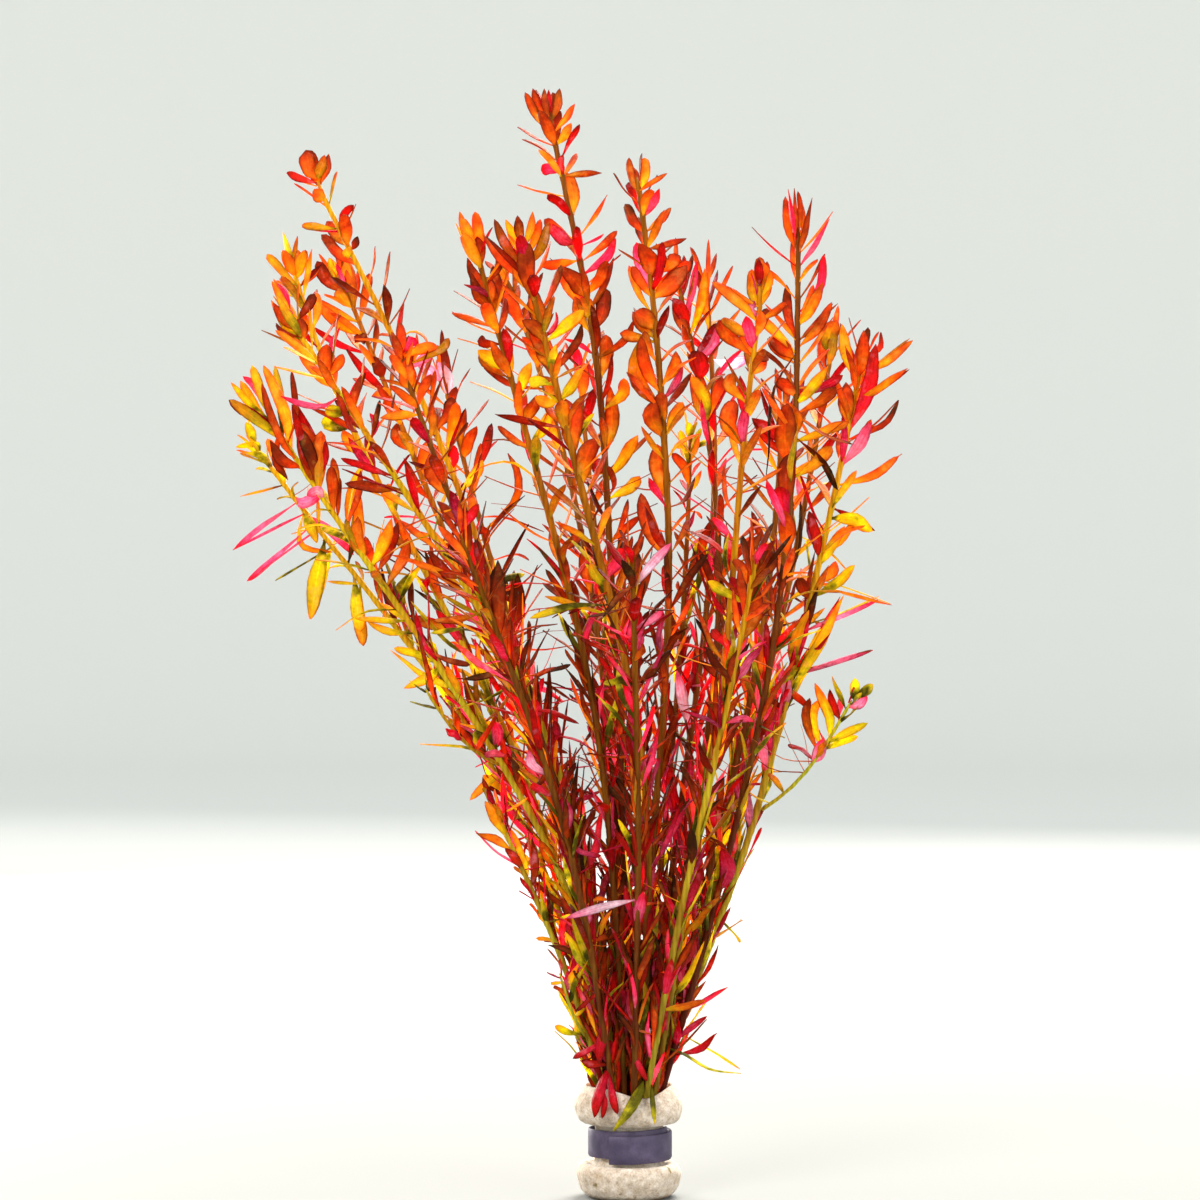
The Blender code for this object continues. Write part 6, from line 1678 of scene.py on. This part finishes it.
def foam_material():
    """Cream foam with open cells painted darker in their hollows and paler on their rims, brown stains,
    specks and darker brown at its foot.
    """
    made, board = new_material("cream_foam")
    place = board.place()
    broad = board.noise(place, 150, 3.0)
    middle = board.noise(place, 520, 4.0, 0.62)
    fine = board.noise(place, 1900, 4.0, 0.7)
    # The cells: a bump, and in colour painted shade in their hollows and painted highlight on their rims
    cells_with_painted_shade = board.plus(board.times(middle, 0.55), board.times(fine, 0.45))
    stain = board.about(broad, 0.54, 3.0, clamp=True)
    dirt = board.about(board.noise(place, 330, 2.0), 0.66, 14.0, clamp=True)
    # Darker brown towards the foot, in patches, fading out about 1.6 mm above it
    foot = board.less(1.0, board.height(place), 620.0)
    colour = board.mix(board.times(stain, 0.60), board.ramp(cells_with_painted_shade, FOAM_CELL_PAINTED_SHADE_STOPS), paint(182, 156, 124))
    colour = board.mix(board.times(dirt, 0.8), colour, paint(120, 104, 40))
    colour = board.mix(board.times(foot, board.times(broad, 1.5)), colour, paint(124, 88, 60))
    board.finish(board.skin(colour, 0.95, cells_with_painted_shade, 0.7, 0.0004, Specular_IOR_Level=0.2, Subsurface_Weight=0.3,
                            Subsurface_Radius=(0.0022, 0.0017, 0.001), Subsurface_Scale=1.0))
    return made


def lead_material():
    """Dark soft lead with slow mottling."""
    made, board = new_material("dark_lead")
    place = board.place()
    fine = board.noise(place, 1600, 4.0, 0.65)
    mottled = board.plus(board.times(board.noise(place, 220, 3.0), 0.7), board.times(fine, 0.3))
    rough = board.plus(0.42, board.times(fine, 0.3))
    board.finish(board.skin(board.ramp(mottled, LEAD_STOPS), rough, mottled, 0.35, 0.0002, Metallic=0.2))
    return made


def make_piece(name, points, faces, materials, looks=None):
    """A mesh object from points in millimetres."""
    mesh = bpy.data.meshes.new(name)
    mesh.from_pydata([tuple(float(c) * MM for c in p) for p in points], [], faces)
    for look in materials:
        mesh.materials.append(look)
    if looks is not None:
        mesh.polygons.foreach_set("material_index", looks)
    mesh.shade_smooth()
    mesh.validate()
    mesh.update()
    obj = bpy.data.objects.new(name, mesh)
    bpy.context.scene.collection.objects.link(obj)
    return obj


def dress_stem(name, run, leaves, picked, materials, limp):
    """A stem with all its leaves and roots, as one piece."""
    chance = random.Random(DRESS_SEED + sum(ord(c) for c in name))
    growth = Growth()
    add_stem(growth, run, node_distances(run), BARK_TONES.get(name, PLAIN_BARK_TONE))
    for leaf in leaves:
        line, blade = blade_line(run, leaf)
        tone = leaf_tone(name, leaf, chance)
        blush = leaf_blush(leaf, chance)
        light = leaf_light(leaf, chance)
        form = "lance"
        if leaf["middle"].z < CROWDED_HEIGHT:
            form = "worn"
        elif leaf["s"] < ROUND_REACH and leaf["width"] > ROUND_WIDTH:
            form = "round"
        add_blade(growth, line, blade, SLIM * leaf["width"], tone, chance, blush, light, form)
    for line, blade, width, tone, blush in picked:
        add_blade(growth, line, blade, width, tone, chance, blush, chance.uniform(*PICKED_LIGHTS))
    for line, radius, tone, blush in threads_of(run, random.Random(THREAD_SEED + len(growth.points))):
        add_thread(growth, line, radius, tone, blush)
    for points, width, tone in limp:
        line = smooth_line(points, BLADE_STATIONS + 4)
        heading = Vector(line[-1] - line[0])
        out = Vector((line[-1][0], line[-1][1], 0)).normalized()
        blade = np.array(heading.cross(out).normalized())
        add_blade(growth, line, blade, width, tone, chance, 0.60 if tone > 0.8 else 0.0)
    piece = make_piece("dressed_" + name, growth.points, growth.faces, materials, growth.looks)
    for label, values in growth.values.items():
        layer = piece.data.attributes.new(label, "FLOAT", "POINT")
        layer.data.foreach_set("value", np.array(values, np.float32))
    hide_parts(name)
    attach(piece, "root")
    return piece


FOAM_ROUND = 176
FOAM_ROWS = 110


def foam_outline(count):
    """The sleeve's section as evenly spread points: up the outside, over the rim, down the bore."""
    corners = foam_profile()
    line = smooth_line([(r, 0, z) for r, z in corners], len(corners) * 12)
    along = np.concatenate([[0], np.cumsum(np.linalg.norm(np.diff(line, axis=0), axis=1))])
    spread = np.linspace(0, along[-1], count)
    radii = np.interp(spread, along, line[:, 0])
    heights = np.interp(spread, along, line[:, 2])
    return [(float(radius), float(z)) for radius, z in zip(radii, heights)]


def dress_foam(look):
    """Soft open foam: slow lumps, small dents and open cells on everything but the flat foot."""
    outline = foam_outline(FOAM_ROWS)
    points = []
    for radius, z in outline:
        for k in range(FOAM_ROUND):
            angle = 2 * math.pi * k / FOAM_ROUND
            spot = Vector((math.cos(angle) * radius, math.sin(angle) * radius, z))
            lump = 0.45 * noise.noise(spot / 6.0) + 0.26 * noise.noise(spot / 2.1 + Vector((9, 0, 0)))
            dent = 0.16 * noise.noise(spot / 0.85) + 0.08 * noise.noise(spot / 0.40)
            calm = min(1.0, max(0.0, z) / 2.0)
            if radius < FOAM_MOUTH_RADIUS + 0.2:
                calm *= 0.25
            if abs(z - STRIP_MIDDLE_HEIGHT) < STRIP_WIDTH / 2 + 0.4 and radius < FOAM_WAIST_RADIUS + 0.6:
                calm = 0.0
            push = (lump + dent) * calm
            swell = 1 + push / radius
            points.append((spot.x * swell, spot.y * swell, max(z, 0.0) - rim_dip(angle, z)))
    total = len(points)
    faces = [(a, b, c % total, d % total) for a, d, c, b in ring_faces(FOAM_ROWS, FOAM_ROUND)]
    piece = make_piece("foam_sleeve", points, faces, [look])
    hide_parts("foam_wrap")
    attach(piece, "root")


STRIP_SECTION = ((-1, -0.9), (-0.5, -1), (0.5, -1), (1, -0.9), (1, -0.45), (1, 0), (1, 0.45), (1, 0.9),
                 (0.5, 1), (-0.5, 1), (-1, 0.9), (-1, 0))
STRIP_ROWS = 160


def dress_strip(look):
    """The lead band, with rounded edges, slow dents and a squared outer end."""
    points = []
    for step in range(STRIP_ROWS + 1):
        turns = STRIP_TURNS * step / STRIP_ROWS
        radius, angle, height = strip_place(turns)
        out = Vector((math.cos(angle), math.sin(angle), 0))
        for a, b in STRIP_SECTION:
            spot = out * (radius + a * STRIP_THICK / 2) + Vector((0, 0, height + b * STRIP_WIDTH / 2))
            dent = 0.10 * noise.noise(spot / 2.6) if a > 0 else 0.0
            sag = 0.14 * noise.noise(Vector((angle * 2.2, 0, b))) if abs(b) > 0.8 else 0.0
            points.append(spot + out * dent + Vector((0, 0, sag)))
    count = len(STRIP_SECTION)
    faces = ring_faces(STRIP_ROWS, count)
    faces.append(tuple(range(count)))
    faces.append(tuple(range(STRIP_ROWS * count, (STRIP_ROWS + 1) * count))[::-1])
    piece = make_piece("lead_band", points, faces, [look])
    piece.data.set_sharp_from_angle(angle=math.radians(50))
    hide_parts("lead_strip")
    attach(piece, "root")


def recalc(obj):
    """Turns every face outward."""
    bm = bmesh.new()
    bm.from_mesh(obj.data)
    bmesh.ops.recalc_face_normals(bm, faces=bm.faces)
    bm.to_mesh(obj.data)
    bm.free()


# Stage, in metres, with colours as linear light
FLOOR_REACH = 2.6
FLOOR_BEND = 0.7
FLOOR_RIM_HEIGHT = 1.5
FLOOR_ROUND = 96
# The floor's colour is painted shade near the middle and painted light towards the rim, to even out how the
# lamps light it
FLOOR_PAINTED_FALLOFF_START = 0.7
FLOOR_PAINTED_FALLOFF_END = 1.75
NEAR_FLOOR_PAINTED_SHADE = (0.21, 0.217, 0.21, 1.0)
FAR_FLOOR_PAINTED_LIGHT = (0.88, 0.90, 0.86, 1.0)
SENSOR_WIDTH = 36
SKY_COLOUR = (0.95, 0.97, 1.0, 1)
SKY_STRENGTH = 0.75
WHITE = (1.0, 1.0, 1.0)
WARM = (1.0, 0.97, 0.90)


def build_stage():
    """A pale round floor that curves up into a rim far behind every camera, painted darker near the middle
    where the lamps are strong and lighter towards the rim where their light falls off.
    """
    bends = np.linspace(0, math.pi / 2, 14)
    profile = [(FLOOR_REACH + FLOOR_BEND * math.sin(a), FLOOR_BEND * (1 - math.cos(a))) for a in bends]
    profile.append((FLOOR_REACH + FLOOR_BEND, FLOOR_RIM_HEIGHT))
    points = [(0.0, 0.0, 0.0)]
    for reach, height in profile:
        for k in range(FLOOR_ROUND):
            angle = 2 * math.pi * k / FLOOR_ROUND
            points.append((reach / MM * math.cos(angle), reach / MM * math.sin(angle), height / MM))
    faces = [(0, 1 + k, 1 + (k + 1) % FLOOR_ROUND) for k in range(FLOOR_ROUND)]
    faces += ring_faces(len(profile) - 1, FLOOR_ROUND, 1)
    made, board = new_material("pale_floor")
    # Painted shade near the middle, fading outward to painted light at the rim
    reach = board.node("ShaderNodeVectorMath", {0: board.place()}, operation="LENGTH").outputs["Value"]
    span = {"Value": reach, "From Min": FLOOR_PAINTED_FALLOFF_START, "From Max": FLOOR_PAINTED_FALLOFF_END}
    outward = board.node("ShaderNodeMapRange", span, interpolation_type="SMOOTHSTEP").outputs[0]
    colour = board.mix(outward, NEAR_FLOOR_PAINTED_SHADE, FAR_FLOOR_PAINTED_LIGHT)
    board.finish(board.node("ShaderNodeBsdfPrincipled", {"Base Color": colour, "Roughness": 0.8}))
    floor = make_piece("pale_floor", points, faces, [made])


def add_light(name, place, aim_height, size, power, colour=WHITE):
    """A round soft light that is turned to a point on the axis."""
    lamp = bpy.data.lights.new(name, "AREA")
    lamp.shape = "DISK"
    lamp.size = size
    lamp.energy = power
    lamp.color = colour
    obj = bpy.data.objects.new(name, lamp)
    obj.location = place
    aim = Vector((0, 0, aim_height)) - Vector(place)
    obj.rotation_euler = aim.to_track_quat("-Z", "Y").to_euler()
    bpy.context.scene.collection.objects.link(obj)


def light_stage():
    """A pale sky, and four soft lights in front of the bunch and behind it."""
    world = bpy.data.worlds.new("pale_room")
    world.use_nodes = True
    sky = world.node_tree.nodes["Background"]
    sky.inputs["Color"].default_value = SKY_COLOUR
    sky.inputs["Strength"].default_value = SKY_STRENGTH
    bpy.context.scene.world = world
    add_light("key", (-0.7, -1.1, 1.1), 0.15, 0.6, 18, (1.0, 0.96, 0.90))
    add_light("fill", (0.9, -0.9, 0.5), 0.08, 1.0, 8)
    add_light("back", (0.3, 0.8, 0.9), 0.15, 0.8, 37, WARM)
    add_light("low back", (-0.6, 0.9, 0.35), 0.10, 0.7, 19, WARM)


def add_camera():
    """The front camera, which stands where the photograph was taken from."""
    camera = bpy.data.cameras.new("front")
    camera.sensor_width = SENSOR_WIDTH
    camera.lens = SENSOR_WIDTH * SIGHT_DISTANCE / (PHOTO_PIXELS * MM_A_PIXEL)
    camera.dof.use_dof = False
    obj = bpy.data.objects.new("front", camera)
    obj.location = (SIGHT_X * MM, -SIGHT_DISTANCE * MM, SIGHT_HEIGHT * MM)
    obj.rotation_euler = (math.radians(90), 0, 0)
    bpy.context.scene.collection.objects.link(obj)
    bpy.context.scene.camera = obj


def clear_startup():
    """Removes what an empty start holds."""
    for name in ("Cube", "Light", "Camera"):
        left = bpy.data.objects.get(name)
        if left:
            bpy.data.objects.remove(left)


def main():
    """Builds the stage, grows the leaves and dresses every node."""
    clear_startup()
    add_camera()
    build_stage()
    light_stage()
    runs = all_runs()
    room = grow_leaves(runs)
    fill_leaves(room, runs)
    picked = place_picked(runs)
    surface = blade_group()
    shading = shade_group()
    materials = [bark_material(shading),
                 leaf_material("leaf_upper", surface, shading, UPPER_STOPS, 0.9, 0.55),
                 leaf_material("leaf_underside", surface, shading, UNDER_STOPS, 1.0, 0.55)]
    for name, run in runs.items():
        limp = LIMP_LEAVES if name == "stem_23" else ()
        recalc(dress_stem(name, run, room.leaves[name], picked[name], materials, limp))
    dress_foam(foam_material())
    recalc(bpy.data.objects["foam_sleeve"])
    dress_strip(lead_material())
    recalc(bpy.data.objects["lead_band"])
    bpy.context.scene.view_settings.view_transform = "Standard"


main()
